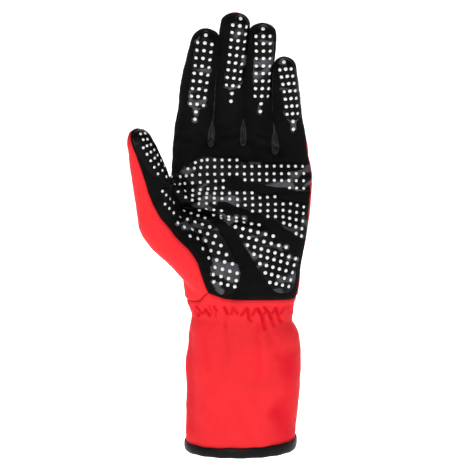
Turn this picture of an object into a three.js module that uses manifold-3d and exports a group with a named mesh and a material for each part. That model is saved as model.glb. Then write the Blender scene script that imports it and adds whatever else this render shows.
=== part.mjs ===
// A left-hand karting glove in the shape it has when worn: a long gathered cuff with a bound hem, a red back
// that wraps the thumb, and a black palm, cut in one with the finger fronts, that carries a raised grip print.
// Millimetres. +X runs across the palm away from the thumb, -Y faces out of the palm, +Z points to the fingertips.
// The origin is the middle of the hand opening, in the plane of the hem.
import * as THREE from "three";
import { mergeVertices } from "three/addons/utils/BufferGeometryUtils.js";
import Module from "manifold-3d";

const wasm = await Module();
wasm.setup();

// Cloth, seams and print
const clothWall = 1.6;
const seamGap = 0.4;
const printGap = 0.3;
const printThickness = 0.6;
const bindingGap = 0.5;
const bindingThickness = 1;
const bindingHeight = 9.5;

// Cuff, from the hem to the gathers
const wristHeight = 102;
const cuffWidth = 82;
const cuffDepth = 54;
const wristWidth = 70;
const wristDepth = 45;
const gatherDepth = 1.1;
const gatherSpread = 9;
const gatherCount = 15;
const wristSeamRise = 11;

// Palm, from the gathers to the finger crotches
const palmLength = 118;
const palmWidth = 99;
const palmDepth = 30;
const palmEnd = 1.5;
const crotchFall = 6;
const creaseDepth = 3.4;

// Fingers: length from the crotches, width at the crotch, and how far the tips lean towards the palm
const indexLength = 82.7;
const middleLength = 93.2;
const ringLength = 86.6;
const littleLength = 62.5;
const indexWidth = 26.8;
const middleWidth = 21.2;
const ringWidth = 21.3;
const littleWidth = 21.8;
const fingerDepth = 21;
const fingerLean = 25;
const fourchetteWidth = 6.4;
const fourchetteDrop = 7;

// Thumb: how far it reaches from the middle line, how high its tip is, and how far it stands forward
const thumbReach = 76;
const thumbRise = 132;
const thumbForward = 32;
const thumbThickness = 31;
const webThickness = 17;
const webHeight = 25;

// How finely the shapes are cut: sides of the outer skin, and of the hollow inside it
const cuffSides = 45;
const bindingSides = 30;
const palmSides = 28;
const palmHollowSides = 20;
const fingerSides = 12;
const fingerHollowSides = 8;
const fingerSteps = 4;
const thumbSteps = 8;

const palmTop = wristHeight + palmLength;
const farAway = 400;

// Sections of the cuff and palm. "along" is 0 at the hem, 1 at the gathers and 2 at the crotches; the other columns
// are shares of half the width and half the depth of the size in "of".
const sizes = {
  cuff: { width: cuffWidth, depth: cuffDepth },
  wrist: { width: wristWidth, depth: wristDepth },
  palm: { width: palmWidth, depth: palmDepth },
};
const bodySections = [
  { along: 0.0, of: "cuff", thumbSide: 0.96, littleSide: 0.95, palmar: 1.0, dorsal: 1.0, square: 2.1 },
  { along: 0.22, of: "cuff", thumbSide: 0.96, littleSide: 0.965, palmar: 1.0, dorsal: 1.0, square: 2.1 },
  { along: 0.42, of: "cuff", thumbSide: 0.95, littleSide: 1.01, palmar: 1.02, dorsal: 1.0, square: 2.1 },
  { along: 0.63, of: "cuff", thumbSide: 0.96, littleSide: 1.015, palmar: 1.02, dorsal: 1.0, square: 2.1 },
  { along: 0.77, of: "cuff", thumbSide: 0.93, littleSide: 1.0, palmar: 0.99, dorsal: 0.97, square: 2.1 },
  { along: 0.86, of: "cuff", thumbSide: 0.9, littleSide: 0.97, palmar: 0.93, dorsal: 0.92, square: 2.1 },
  { along: 0.93, of: "wrist", thumbSide: 1.02, littleSide: 1.06, palmar: 1.04, dorsal: 1.04, square: 2.1 },
  { along: 1.0, of: "wrist", thumbSide: 0.96, littleSide: 0.945, palmar: 0.99, dorsal: 0.99, square: 2.1 },
  { along: 1.05, of: "wrist", thumbSide: 1.04, littleSide: 1.04, palmar: 1.0, dorsal: 0.99, square: 2.15 },
  { along: 1.09, of: "palm", thumbSide: 0.765, littleSide: 0.745, palmar: 1.49, dorsal: 1.46, square: 2.2 },
  { along: 1.15, of: "palm", thumbSide: 0.82, littleSide: 0.785, palmar: 1.5, dorsal: 1.42, square: 2.25 },
  { along: 1.27, of: "palm", thumbSide: 0.84, littleSide: 0.83, palmar: 1.44, dorsal: 1.38, square: 2.3 },
  { along: 1.39, of: "palm", thumbSide: 0.87, littleSide: 0.887, palmar: 1.32, dorsal: 1.37, square: 2.35 },
  { along: 1.51, of: "palm", thumbSide: 0.9, littleSide: 0.94, palmar: 1.16, dorsal: 1.35, square: 2.4 },
  { along: 1.65, of: "palm", thumbSide: 0.94, littleSide: 0.982, palmar: 0.96, dorsal: 1.32, square: 2.4 },
  { along: 1.83, of: "palm", thumbSide: 0.99, littleSide: 0.998, palmar: 0.7, dorsal: 1.25, square: 2.3 },
  { along: 1.92, of: "palm", thumbSide: 0.98, littleSide: 0.966, palmar: 0.55, dorsal: 1.16, square: 2.2 },
  { along: 2.0, of: "palm", thumbSide: 0.95, littleSide: 0.92, palmar: 0.34, dorsal: 0.98, square: 2.1 },
];

// Where the rings of the cuff and palm lofts stand, as "along"
const cuffRings = [0, 0.1, 0.4, 0.72, 0.87, 0.94, 1.0, 1.06, 1.17];
const palmRings = [1.0, 1.1, 1.22, 1.34, 1.46, 1.53, 1.58, 1.64, 1.75, 1.87, 1.97];

// The middle line in depth, as a share of half the palm's depth, which the back and the fingers follow
const middleLine = [
  { along: 0.0, share: 0 },
  { along: 1.1, share: 0 },
  { along: 1.39, share: 0.03 },
  { along: 1.65, share: 0.18 },
  { along: 1.83, share: 0.29 },
  { along: 1.96, share: 0.32 },
];

// Folds and mounds of the palm. Each runs from one point to another: "across" is a share of half the palm's width,
// "along" a share of its length from the gathers; "sink" is a share of the crease's depth, negative where it swells.
const palmFolds = [
  { across: -0.82, along: 0.6, toAcross: -0.35, toAlong: 0.56, spread: 0.028, sink: 1.0 },
  { across: -0.35, along: 0.56, toAcross: 0.25, toAlong: 0.53, spread: 0.026, sink: 0.75 },
  { across: 0.25, along: 0.66, toAcross: 0.9, toAlong: 0.68, spread: 0.02, sink: 0.25 },
  { across: 0.42, along: 0.2, toAcross: 0.62, toAlong: 0.42, spread: 0.14, sink: -0.75 },
  { across: -0.05, along: 0.1, toAcross: 0.02, toAlong: 0.4, spread: 0.08, sink: 0.6 },
  { across: -0.3, along: 0.8, toAcross: 0.7, toAlong: 0.78, spread: 0.07, sink: -0.35 },
];

// Shallow folds down the cuff: where round it, in degrees from the little finger's side, towards the back
const cuffFolds = [
  { angle: 292, spread: 9, from: 0.25, to: 0.85, sink: 0.025 },
  { angle: 322, spread: 12, from: 0.05, to: 0.5, sink: 0.035 },
  { angle: 232, spread: 12, from: 0.1, to: 0.75, sink: 0.02 },
  { angle: 120, spread: 14, from: 0.1, to: 0.8, sink: 0.03 },
  { angle: 60, spread: 12, from: 0.2, to: 0.85, sink: 0.025 },
];

// Fingers, from inside the palm to the tip: "at" is a share of the length from the crotch, "across" of half the
// palm's width, "wide" of the finger's width and "deep" of its depth. "blunt" is how round the tip is.
const fingers = {
  index: {
    length: indexLength,
    width: indexWidth,
    blunt: 0.9,
    rows: [
      { at: -0.27, across: -0.71, wide: 0.92, deep: 0.9 },
      { at: 0, across: -0.697, wide: 1, deep: 1 },
      { at: 0.28, across: -0.642, wide: 0.963, deep: 0.98 },
      { at: 0.56, across: -0.601, wide: 0.877, deep: 0.94 },
      { at: 0.8, across: -0.541, wide: 0.813, deep: 0.86 },
      { at: 1, across: -0.515, wide: 0.76, deep: 0.76 },
    ],
  },
  middle: {
    length: middleLength,
    width: middleWidth,
    blunt: 0.78,
    rows: [
      { at: -0.24, across: -0.2, wide: 0.92, deep: 0.9 },
      { at: 0, across: -0.194, wide: 1, deep: 1 },
      { at: 0.28, across: -0.164, wide: 0.93, deep: 0.98 },
      { at: 0.56, across: -0.139, wide: 0.934, deep: 0.94 },
      { at: 0.8, across: -0.097, wide: 0.934, deep: 0.86 },
      { at: 1, across: -0.065, wide: 0.93, deep: 0.76 },
    ],
  },
  ring: {
    length: ringLength,
    width: ringWidth,
    blunt: 0.82,
    rows: [
      { at: -0.25, across: 0.26, wide: 0.92, deep: 0.9 },
      { at: 0, across: 0.2515, wide: 1, deep: 1 },
      { at: 0.28, across: 0.2475, wide: 0.9, deep: 0.98 },
      { at: 0.56, across: 0.2576, wide: 0.86, deep: 0.94 },
      { at: 0.8, across: 0.297, wide: 0.864, deep: 0.86 },
      { at: 1, across: 0.311, wide: 0.84, deep: 0.76 },
    ],
  },
  little: {
    length: littleLength,
    width: littleWidth,
    blunt: 1,
    rows: [
      { at: -0.35, across: 0.72, wide: 0.92, deep: 0.85 },
      { at: 0, across: 0.705, wide: 1, deep: 0.96 },
      { at: 0.28, across: 0.669, wide: 0.917, deep: 0.92 },
      { at: 0.56, across: 0.638, wide: 0.853, deep: 0.86 },
      { at: 0.8, across: 0.618, wide: 0.72, deep: 0.78 },
      { at: 1, across: 0.6, wide: 0.69, deep: 0.7 },
    ],
  },
};
const neighbours = [
  ["index", "middle"],
  ["middle", "ring"],
  ["ring", "little"],
];

// Thumb, from inside the wrist to the tip: "out" is a share of its reach towards the thumb side, "up" of its rise
// above the gathers, "forward" of how far it stands forward and "thick" of its thickness at the ball. "seam" is how
// far the seam between black and red lies from the middle line, as a share of half the thickness there.
const thumbSections = [
  { out: 0.184, up: 0.065, forward: 0.156, thick: 0.774, seam: 0.3 },
  { out: 0.329, up: 0.189, forward: 0.344, thick: 0.806, seam: 0.41 },
  { out: 0.526, up: 0.346, forward: 0.422, thick: 1.0, seam: 0.66 },
  { out: 0.742, up: 0.4735, forward: 0.531, thick: 0.935, seam: 0.78 },
  { out: 0.805, up: 0.611, forward: 0.64, thick: 0.877, seam: 0.29 },
  { out: 0.848, up: 0.7386, forward: 0.766, thick: 0.815, seam: 0.0 },
  { out: 0.9, up: 0.839, forward: 0.89, thick: 0.72, seam: 0.0 },
  { out: 0.939, up: 0.9136, forward: 0.97, thick: 0.606, seam: -0.2 },
  { out: 1.0, up: 1.0, forward: 1.0, thick: 0.516, seam: -0.1 },
];
const thumbTipRound = 0.3;
const thumbSeamTurn = -30;
const thumbGripTurn = 60;

// The grip print: bands of the palm, each row a point of the band's middle line and half its width, where "across"
// is a share of half the palm's width, "along" and "half" of its length from the gathers
const palmBands = [
  [
    { across: -0.93, along: 0.765, half: 0.03 },
    { across: -0.77, along: 0.82, half: 0.058 },
    { across: -0.56, along: 0.86, half: 0.082 },
    { across: -0.35, along: 0.875, half: 0.07 },
    { across: -0.15, along: 0.885, half: 0.053 },
    { across: 0.06, along: 0.86, half: 0.056 },
    { across: 0.32, along: 0.84, half: 0.068 },
    { across: 0.63, along: 0.83, half: 0.079 },
    { across: 0.92, along: 0.815, half: 0.083 },
  ],
  [
    { across: -0.7, along: 0.7, half: 0.024 },
    { across: -0.5, along: 0.73, half: 0.06 },
    { across: -0.22, along: 0.714, half: 0.042 },
    { across: 0, along: 0.69, half: 0.053 },
    { across: 0.29, along: 0.66, half: 0.062 },
    { across: 0.54, along: 0.622, half: 0.068 },
    { across: 0.74, along: 0.583, half: 0.086 },
    { across: 0.9, along: 0.56, half: 0.095 },
  ],
  [
    { across: -0.5, along: 0.612, half: 0.018 },
    { across: -0.25, along: 0.586, half: 0.022 },
    { across: 0, along: 0.518, half: 0.047 },
    { across: 0.22, along: 0.435, half: 0.076 },
    { across: 0.39, along: 0.346, half: 0.093 },
    { across: 0.53, along: 0.257, half: 0.093 },
    { across: 0.61, along: 0.17, half: 0.08 },
  ],
  [
    { across: -1.07, along: 0.73, half: 0.03 },
    { across: -0.94, along: 0.65, half: 0.036 },
    { across: -0.77, along: 0.58, half: 0.047 },
    { across: -0.57, along: 0.512, half: 0.07 },
    { across: -0.4, along: 0.43, half: 0.074 },
    { across: -0.29, along: 0.345, half: 0.08 },
    { across: -0.22, along: 0.257, half: 0.085 },
    { across: -0.205, along: 0.162, half: 0.082 },
  ],
];
const bandJoin = [
  { across: -0.91, along: 0.79, half: 0.03 },
  { across: -0.79, along: 0.7, half: 0.04 },
  { across: -0.6, along: 0.65, half: 0.05 },
  { across: -0.44, along: 0.6, half: 0.045 },
];

// Strips of print up the fingers: "at" is a share of the strip's length and "half" of half its width
const stripShape = [
  { at: 0, half: 0.3 },
  { at: 0.17, half: 0.36 },
  { at: 0.27, half: 0.95 },
  { at: 0.5, half: 1 },
  { at: 0.55, half: 0.8 },
  { at: 0.6, half: 1 },
  { at: 0.86, half: 0.95 },
  { at: 1, half: 0.4 },
];
const stripStarts = { index: 0.18, middle: 0.33, ring: 0.25, little: 0.08 };
const stripShift = { index: 0, middle: 0.1, ring: 0.02, little: 0.08 };
const stripEnd = 0.97;
const stripWidth = 14;
const thumbStripClearance = 2;

// The seam between palm and back, in front of the middle line, as a share of the fourchette's width
const sideSeam = [
  { along: 0.9, share: 0.6 },
  { along: 1.3, share: 0.6 },
  { along: 1.6, share: 0.45 },
  { along: 1.85, share: 0.1 },
  { along: 2.0, share: -0.2 },
];

// The cuff's upper edge, with its step up to the corner of the palm: "across" as above, "rise" a share of the seam's
const wristSeam = [
  { across: -3, rise: 0.88 },
  { across: -0.56, rise: 0.88 },
  { across: -0.5, rise: 1.2 },
  { across: -0.44, rise: 1.35 },
  { across: -0.34, rise: 1.14 },
  { across: -0.2, rise: 1.04 },
  { across: 0.03, rise: 1.06 },
  { across: 0.36, rise: 1.0 },
  { across: 0.75, rise: 0.87 },
  { across: 3, rise: 0.87 },
];

// How far the thumb's red panel reaches on to the back of the hand
const thumbPanelEdge = [
  { across: -0.98, along: 1.3 },
  { across: -0.98, along: 0.82 },
  { across: -0.9, along: 0.7 },
  { across: -0.72, along: 0.5 },
  { across: -0.55, along: 0.25 },
  { across: -0.47, along: 0 },
];

const colours = {
  suede: 0x131314,
  redCloth: 0xe8232f,
  stretchKnit: 0x23232d,
  binding: 0x14141a,
  print: 0x232326,
};

// Reads a column of a table between its rows, along a smooth curve through them
function columnAt(rows, key, column, at) {
  const last = rows.length - 1;
  if (at <= rows[0][key]) return rows[0][column];
  if (at >= rows[last][key]) return rows[last][column];
  const i = rows.findIndex((row) => row[key] > at) - 1;
  const slope = (j) => {
    const before = rows[Math.max(j - 1, 0)];
    const after = rows[Math.min(j + 1, last)];
    return (after[column] - before[column]) / (after[key] - before[key]);
  };
  const step = rows[i + 1][key] - rows[i][key];
  const t = (at - rows[i][key]) / step;
  const a = rows[i][column];
  const b = rows[i + 1][column];
  const t2 = t * t;
  const t3 = t2 * t;
  return (
    (2 * t3 - 3 * t2 + 1) * a +
    (t3 - 2 * t2 + t) * step * slope(i) +
    (3 * t2 - 2 * t3) * b +
    (t3 - t2) * step * slope(i + 1)
  );
}

const bodyRows = bodySections.map((row) => ({
  along: row.along,
  thumbSide: (row.thumbSide * sizes[row.of].width) / 2,
  littleSide: (row.littleSide * sizes[row.of].width) / 2,
  palmar: (row.palmar * sizes[row.of].depth) / 2,
  dorsal: (row.dorsal * sizes[row.of].depth) / 2,
  square: row.square,
}));

function heightOf(along) {
  return along <= 1 ? along * wristHeight : wristHeight + (along - 1) * palmLength;
}

function alongOf(z) {
  return z <= wristHeight ? z / wristHeight : 1 + (z - wristHeight) / palmLength;
}

const fingerLeanLength = middleLength;
const crotchMiddle = (columnAt(middleLine, "along", "share", 2) * palmDepth) / 2;

// Depth of the middle line at a height; above the crotches it leans towards the palm with the fingers
function middleAt(z) {
  if (z <= palmTop) return (columnAt(middleLine, "along", "share", alongOf(z)) * palmDepth) / 2;
  const up = (z - palmTop) / fingerLeanLength;
  return crotchMiddle - fingerLean * Math.pow(up, 1.7);
}

function nearness(x, z, fold) {
  const from = new THREE.Vector2((fold.across * palmWidth) / 2, wristHeight + fold.along * palmLength);
  const to = new THREE.Vector2((fold.toAcross * palmWidth) / 2, wristHeight + fold.toAlong * palmLength);
  const way = to.clone().sub(from);
  const point = new THREE.Vector2(x, z).sub(from);
  const t = THREE.MathUtils.clamp(point.dot(way) / way.lengthSq(), 0, 1);
  const distance = point.sub(way.multiplyScalar(t)).length() / (fold.spread * palmLength);
  return Math.exp(-distance * distance);
}

function palmRelief(x, z) {
  return palmFolds.reduce((sum, fold) => sum + fold.sink * creaseDepth * nearness(x, z, fold), 0);
}

function cuffRelief(angle, along) {
  return cuffFolds.reduce((sum, fold) => {
    const middle = (fold.from + fold.to) / 2;
    const reach = (fold.to - fold.from) / 2;
    const turn = THREE.MathUtils.euclideanModulo(THREE.MathUtils.radToDeg(angle) - fold.angle + 180, 360) - 180;
    const lengthwise = Math.exp(-Math.pow((along - middle) / reach, 4));
    return sum + fold.sink * cuffDepth * Math.exp(-Math.pow(turn / fold.spread, 2)) * lengthwise;
  }, 0);
}

function gathering(angle, z) {
  const near = Math.exp(-Math.pow((z - wristHeight) / gatherSpread, 2));
  return gatherDepth * near * Math.cos(gatherCount * angle);
}

// How far the crotch line falls towards the little finger
function crotchDrop(x, along) {
  const across = THREE.MathUtils.smoothstep(x / palmWidth, 0.1, 0.32);
  return crotchFall * across * THREE.MathUtils.clamp((along - 1.7) / 0.3, 0, 1);
}

// One ring of the cuff and palm, grown or shrunk all round
function bodyRing(along, sides, grow) {
  const z = heightOf(along);
  const row = {};
  for (const column of ["thumbSide", "littleSide", "palmar", "dorsal", "square"]) {
    row[column] = columnAt(bodyRows, "along", column, along);
  }
  const middle = along > 1 ? (row.dorsal - row.palmar) / 2 : 0;
  const halfDepth = (row.dorsal + row.palmar) / 2;
  const ring = [];
  for (let i = 0; i < sides; i++) {
    const angle = (2 * Math.PI * i) / sides;
    const c = Math.cos(angle);
    const s = Math.sin(angle);
    const reach = grow + gathering(angle, z) - cuffRelief(angle, along);
    const halfWidth = (c > 0 ? row.littleSide : row.thumbSide) + reach;
    const x = halfWidth * Math.sign(c) * Math.pow(Math.abs(c), 2 / row.square);
    let y = middle + (halfDepth + reach) * Math.sign(s) * Math.pow(Math.abs(s), 2 / row.square);
    if (s < 0 && along > 1) y += palmRelief(x, z) * Math.min(1, -2 * s);
    ring.push(new THREE.Vector3(x, y, z - crotchDrop(x, along)));
  }
  return ring;
}

// A closed geometry through rings of points, with a flat first end and an end point or a flat last end
function loft(rings, endPoint) {
  const sides = rings[0].length;
  const points = rings.flat();
  const faces = [];
  const centre = (ring) => ring.reduce((sum, p) => sum.add(p), new THREE.Vector3()).divideScalar(ring.length);
  const first = points.push(centre(rings[0])) - 1;
  const last = points.push(endPoint ?? centre(rings[rings.length - 1])) - 1;
  const top = (rings.length - 1) * sides;
  for (let i = 0; i < sides; i++) {
    const j = (i + 1) % sides;
    faces.push(first, j, i, last, top + i, top + j);
    for (let k = 0; k < top; k += sides) {
      faces.push(k + i, k + j, k + sides + j, k + i, k + sides + j, k + sides + i);
    }
  }
  return new THREE.BufferGeometry().setFromPoints(points).setIndex(faces);
}

function solidOf(geometry) {
  const bare = geometry.clone();
  bare.deleteAttribute("normal");
  bare.deleteAttribute("uv");
  const merged = mergeVertices(bare, 1e-4);
  return new wasm.Manifold(
    new wasm.Mesh({
      numProp: 3,
      vertProperties: merged.attributes.position.array,
      triVerts: new Uint32Array(merged.index.array),
    }),
  );
}

function union(solids) {
  return solids.reduce((sum, solid) => sum.add(solid));
}

function cuffSolid(grow, sides, from, to) {
  const inside = cuffRings.filter((along) => along > from && along < to);
  const rings = [from, ...inside, to].map((along) => bodyRing(along, sides, grow));
  return solidOf(loft(rings));
}

// A straight-sided ring on the hem's outline, for the binding
function hemSolid(grow, from, to) {
  const rings = [from, to].map((z) => bodyRing(z / wristHeight, bindingSides, grow));
  return solidOf(loft(rings));
}

function palmSolid(grow, sides) {
  const rings = palmRings.map((along) => bodyRing(along, sides, grow));
  const crown = bodyRing(2, sides, grow);
  for (const [rise, keep] of [
    [0.55, 0.86],
    [1, 0.45],
  ]) {
    const up = rise * (palmEnd + grow);
    rings.push(crown.map((p) => new THREE.Vector3(p.x, THREE.MathUtils.lerp(crotchMiddle, p.y, keep), p.z + up)));
  }
  return solidOf(loft(rings));
}

const depthward = new THREE.Vector3(0, 1, 0);

// A tube with a round tip. Each row gives the middle line's point and half the width and depth there.
function tube(rows, tipRound, sides, steps, grow) {
  const curve = new THREE.CatmullRomCurve3(
    rows.map((row) => row.point),
    false,
    "centripetal",
  );
  const length = curve.getLength();
  const marks = rows.map((row, i) => ({ ...row, at: i }));
  let travelled = 0;
  marks.forEach((mark, i) => {
    if (i) travelled += mark.point.distanceTo(marks[i - 1].point);
    mark.at = travelled;
  });
  marks.forEach((mark) => (mark.at *= length / travelled));
  const round = tipRound + grow;
  const end = length + grow;
  const place = (s) => {
    const u = Math.min(s / length, 1);
    const way = curve.getTangentAt(u);
    const point = curve.getPointAt(u);
    return { way, point: s > length ? point.addScaledVector(way, s - length) : point };
  };
  const ringAt = (s) => {
    const { way, point } = place(s);
    const side = depthward.clone().cross(way).normalize();
    const deep = way.clone().cross(side).normalize();
    const into = Math.max(0, (s - (end - round)) / round);
    const closing = Math.sqrt(Math.max(0, 1 - into * into));
    const halfWidth = (columnAt(marks, "at", "halfWidth", s) + grow) * closing;
    const halfDepth = (columnAt(marks, "at", "halfDepth", s) + grow) * closing;
    return Array.from({ length: sides }, (_, i) => {
      const angle = (2 * Math.PI * i) / sides;
      return point
        .clone()
        .addScaledVector(side, halfWidth * Math.cos(angle))
        .addScaledVector(deep, halfDepth * Math.sin(angle));
    });
  };
  const rings = [];
  for (let i = 0; i < steps; i++) rings.push(ringAt(((end - round) * i) / steps));
  for (const turn of [0, 34, 64]) {
    rings.push(ringAt(end - round + round * Math.sin(THREE.MathUtils.degToRad(turn))));
  }
  return solidOf(loft(rings, place(end).point));
}

function fingerAcross(name, z) {
  const finger = fingers[name];
  return (columnAt(finger.rows, "at", "across", (z - palmTop) / finger.length) * palmWidth) / 2;
}

function fingerRows(name) {
  const finger = fingers[name];
  return finger.rows.map(({ at, across, wide, deep }) => {
    const z = palmTop + at * finger.length;
    return {
      point: new THREE.Vector3((across * palmWidth) / 2, middleAt(z), z),
      halfWidth: (finger.width * wide) / 2,
      halfDepth: (fingerDepth * deep) / 2,
    };
  });
}

function fingerTip(name) {
  const finger = fingers[name];
  return (finger.blunt * finger.width * finger.rows[finger.rows.length - 1].wide) / 2;
}

function thumbRows() {
  return thumbSections.map((row) => ({
    point: new THREE.Vector3(-row.out * thumbReach, -row.forward * thumbForward, wristHeight + row.up * thumbRise),
    halfWidth: (row.thick * thumbThickness) / 2,
    halfDepth: (row.thick * thumbThickness) / 2,
  }));
}

// The web between the thumb and the palm
function webRows() {
  const thumb = thumbRows();
  const root = new THREE.Vector3(-palmWidth * 0.3, 0, wristHeight + palmLength * 0.46);
  const tip = thumb[4].point.clone();
  tip.z -= webHeight / 4;
  return [root, root.clone().lerp(tip, 0.5), tip].map((point) => ({
    point,
    halfWidth: webHeight / 2,
    halfDepth: webThickness / 2,
  }));
}

function thumbSolid(grow, sides) {
  return tube(thumbRows(), thumbThickness * thumbTipRound, sides, thumbSteps, grow);
}

// The whole hand above the cuff, grown or shrunk all round
function handSolid(grow, palmCount, fingerCount) {
  const parts = [palmSolid(grow, palmCount)];
  for (const name of Object.keys(fingers)) {
    parts.push(tube(fingerRows(name), fingerTip(name), fingerCount, fingerSteps, grow));
  }
  parts.push(thumbSolid(grow, fingerCount));
  parts.push(tube(webRows(), webThickness * 0.4, fingerCount, 3, grow));
  return union(parts);
}

// Straight cutters: an outline across and up, cut through in depth, and turned about the upright axis
function prism(outline, from, to, turn = 0) {
  const shape = new THREE.Shape(outline.map(([x, z]) => new THREE.Vector2(x, z)));
  const geometry = new THREE.ExtrudeGeometry(shape, { depth: to - from, bevelEnabled: false });
  geometry.rotateX(Math.PI / 2).translate(0, to, 0).rotateZ(THREE.MathUtils.degToRad(turn));
  return solidOf(geometry);
}

// The same with an outline in depth and up, cut through across
function sidePrism(outline) {
  const shape = new THREE.Shape(outline.map(([y, z]) => new THREE.Vector2(y, z)));
  const geometry = new THREE.ExtrudeGeometry(shape, { depth: 2 * farAway, bevelEnabled: false });
  geometry.rotateX(Math.PI / 2).rotateZ(Math.PI / 2).translate(-farAway, 0, 0);
  return solidOf(geometry);
}

// Everything on the palm side of the side seams
function palmSide(shift) {
  const heights = [0, ...sideSeam.map(({ along }) => heightOf(along))];
  for (let i = 1; i <= 5; i++) heights.push(palmTop + (middleLength * 1.1 * i) / 5);
  const line = heights.map((z) => {
    const forward = columnAt(sideSeam, "along", "share", alongOf(z)) * fourchetteWidth;
    return [middleAt(z) - forward + shift, z];
  });
  return sidePrism([[-farAway, line[0][1]], ...line, [-farAway, line[line.length - 1][1]]]);
}

// Everything below the seam between cuff and hand
function cuffSide(shift) {
  const line = wristSeam.map(({ across, rise }) => [
    (across * palmWidth) / 2,
    wristHeight + rise * wristSeamRise + shift,
  ]);
  return prism([...line, [line[line.length - 1][0], -farAway], [line[0][0], -farAway]], -farAway, farAway);
}

// The part of the hand that the thumb's red panel covers
function thumbPanelZone(shift) {
  const turn = THREE.MathUtils.degToRad(thumbSeamTurn);
  const line = thumbRows().map(({ point, halfWidth }, i) => [
    point.x * Math.cos(turn) + point.y * Math.sin(turn) + thumbSections[i].seam * halfWidth + shift,
    point.z,
  ]);
  const [tipAcross, tipUp] = line[line.length - 1];
  const outline = [
    [-farAway, 0],
    [line[0][0], 0],
    ...line,
    [tipAcross, tipUp + thumbThickness],
    [-farAway, tipUp + thumbThickness],
  ];
  const side = thumbPanelEdge.map(({ across, along }) => [
    (across * palmWidth) / 2 + shift,
    wristHeight + along * palmLength,
  ]);
  const sideOutline = [[-farAway, side[0][1]], ...side, [side[side.length - 1][0], 0], [-farAway, 0]];
  return prism(outline, -farAway, farAway, thumbSeamTurn).intersect(prism(sideOutline, -farAway, farAway));
}

// The strip between two fingers: one arm up each finger's side, joined under the crotch
function fourchetteZone(first, second, grow) {
  const arms = [first, second].map((name, i) => {
    const side = i ? 1 : -1;
    const finger = fingers[name];
    const otherFinger = fingers[i ? first : second];
    const widths = finger.width + otherFinger.width;
    const bottom = palmTop - fourchetteDrop;
    const end = palmTop + finger.length - fingerTip(name) * 0.9;
    const inner = [];
    const outer = [];
    const front = [];
    const back = [];
    for (const share of [0, 0.15, 0.45, 0.76, 1]) {
      const height = bottom + (end - bottom) * share;
      const own = fingerAcross(name, height);
      const other = fingerAcross(i ? first : second, height);
      const between = (own * otherFinger.width + other * finger.width) / widths;
      const half = (fourchetteWidth / 2) * Math.min(1, 0.25 + (1 - share) / 0.24) + grow;
      const corners = [own + (between - own) * 0.25 + side * grow, between - side * (seamGap + grow)];
      const ends = share === 0 ? [height - grow, height] : share === 1 ? [height, height + grow] : [height];
      for (const z of grow > 0 ? ends : [height]) {
        inner.push([corners[0], z]);
        outer.push([corners[1], z]);
        front.push([middleAt(height) - half, z]);
        back.push([middleAt(height) + half, z]);
      }
    }
    const across = i ? [...outer, ...inner.reverse()] : [...inner, ...outer.reverse()];
    return prism(across, -farAway, farAway).intersect(sidePrism([...front, ...back.reverse()]));
  });
  return union(arms);
}

// The outline of a band of print, from its middle line and half widths
function bandOutline(rows) {
  const points = rows.map(({ x, z, half }) => ({ at: new THREE.Vector2(x, z), half }));
  const left = [];
  const right = [];
  points.forEach(({ at, half }, i) => {
    const before = points[Math.max(i - 1, 0)].at;
    const after = points[Math.min(i + 1, points.length - 1)].at;
    const way = after.clone().sub(before).normalize();
    left.push([at.x - way.y * half, at.y + way.x * half]);
    right.push([at.x + way.y * half, at.y - way.x * half]);
  });
  return [...right, ...left.reverse()];
}

function palmBandOutline(rows, grow) {
  const places = rows.map(({ across, along, half }) => ({
    x: (across * palmWidth) / 2,
    z: wristHeight + along * palmLength,
    half: half * palmLength + grow,
  }));
  return bandOutline(places);
}

function stripRows(start, place) {
  return stripShape.map(({ at, half }) => ({
    ...place(start + at * (stripEnd - start)),
    half: (half * stripWidth) / 2,
  }));
}

// A thin layer of print on the surface, inside the given outlines and in front of a depth
function printLayer(skin, outlines, turn, depth) {
  return skin.intersect(union(outlines.map((outline) => prism(outline, -farAway, depth, turn))));
}

// Keeps the piece itself where a cut leaves crumbs beside it
function largest(solid) {
  const bodies = solid.decompose();
  return bodies.reduce((best, body) => (body.volume() > best.volume() ? body : best));
}

const glove = new THREE.Group();

function addPiece(name, solid, colour, roughness) {
  const { vertProperties, triVerts } = largest(solid).getMesh();
  const geometry = new THREE.BufferGeometry()
    .setAttribute("position", new THREE.BufferAttribute(vertProperties, 3))
    .setIndex(new THREE.BufferAttribute(triVerts, 1));
  const material = new THREE.MeshStandardMaterial({ color: colour, roughness, metalness: 0 });
  const mesh = new THREE.Mesh(geometry, material);
  mesh.name = name;
  glove.add(mesh);
}

// The hand's shell, cut along its seams
const hand = handSolid(0, palmSides, fingerSides);
const handHollow = handSolid(-clothWall, palmHollowSides, fingerHollowSides);
const halfGap = seamGap / 2;
const handShell = hand.subtract(handHollow).subtract(cuffSide(halfGap));
const fourchettes = neighbours.map(([first, second]) => ({
  name: `fourchette_${first}_${second}`,
  zone: fourchetteZone(first, second, 0),
  room: fourchetteZone(first, second, seamGap),
}));
const fourchetteRoom = union(fourchettes.map(({ room }) => room));
const thumbRoom = thumbPanelZone(halfGap);

addPiece(
  "palm_panel",
  handShell.intersect(palmSide(-halfGap)).subtract(thumbRoom).subtract(fourchetteRoom),
  colours.suede,
  0.9,
);
addPiece(
  "back_panel",
  handShell.subtract(palmSide(halfGap)).subtract(thumbRoom).subtract(fourchetteRoom),
  colours.redCloth,
  0.7,
);
addPiece("thumb_panel", handShell.intersect(thumbPanelZone(-halfGap)), colours.redCloth, 0.7);
for (const { name, zone } of fourchettes) addPiece(name, handShell.intersect(zone), colours.stretchKnit, 0.8);

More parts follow.
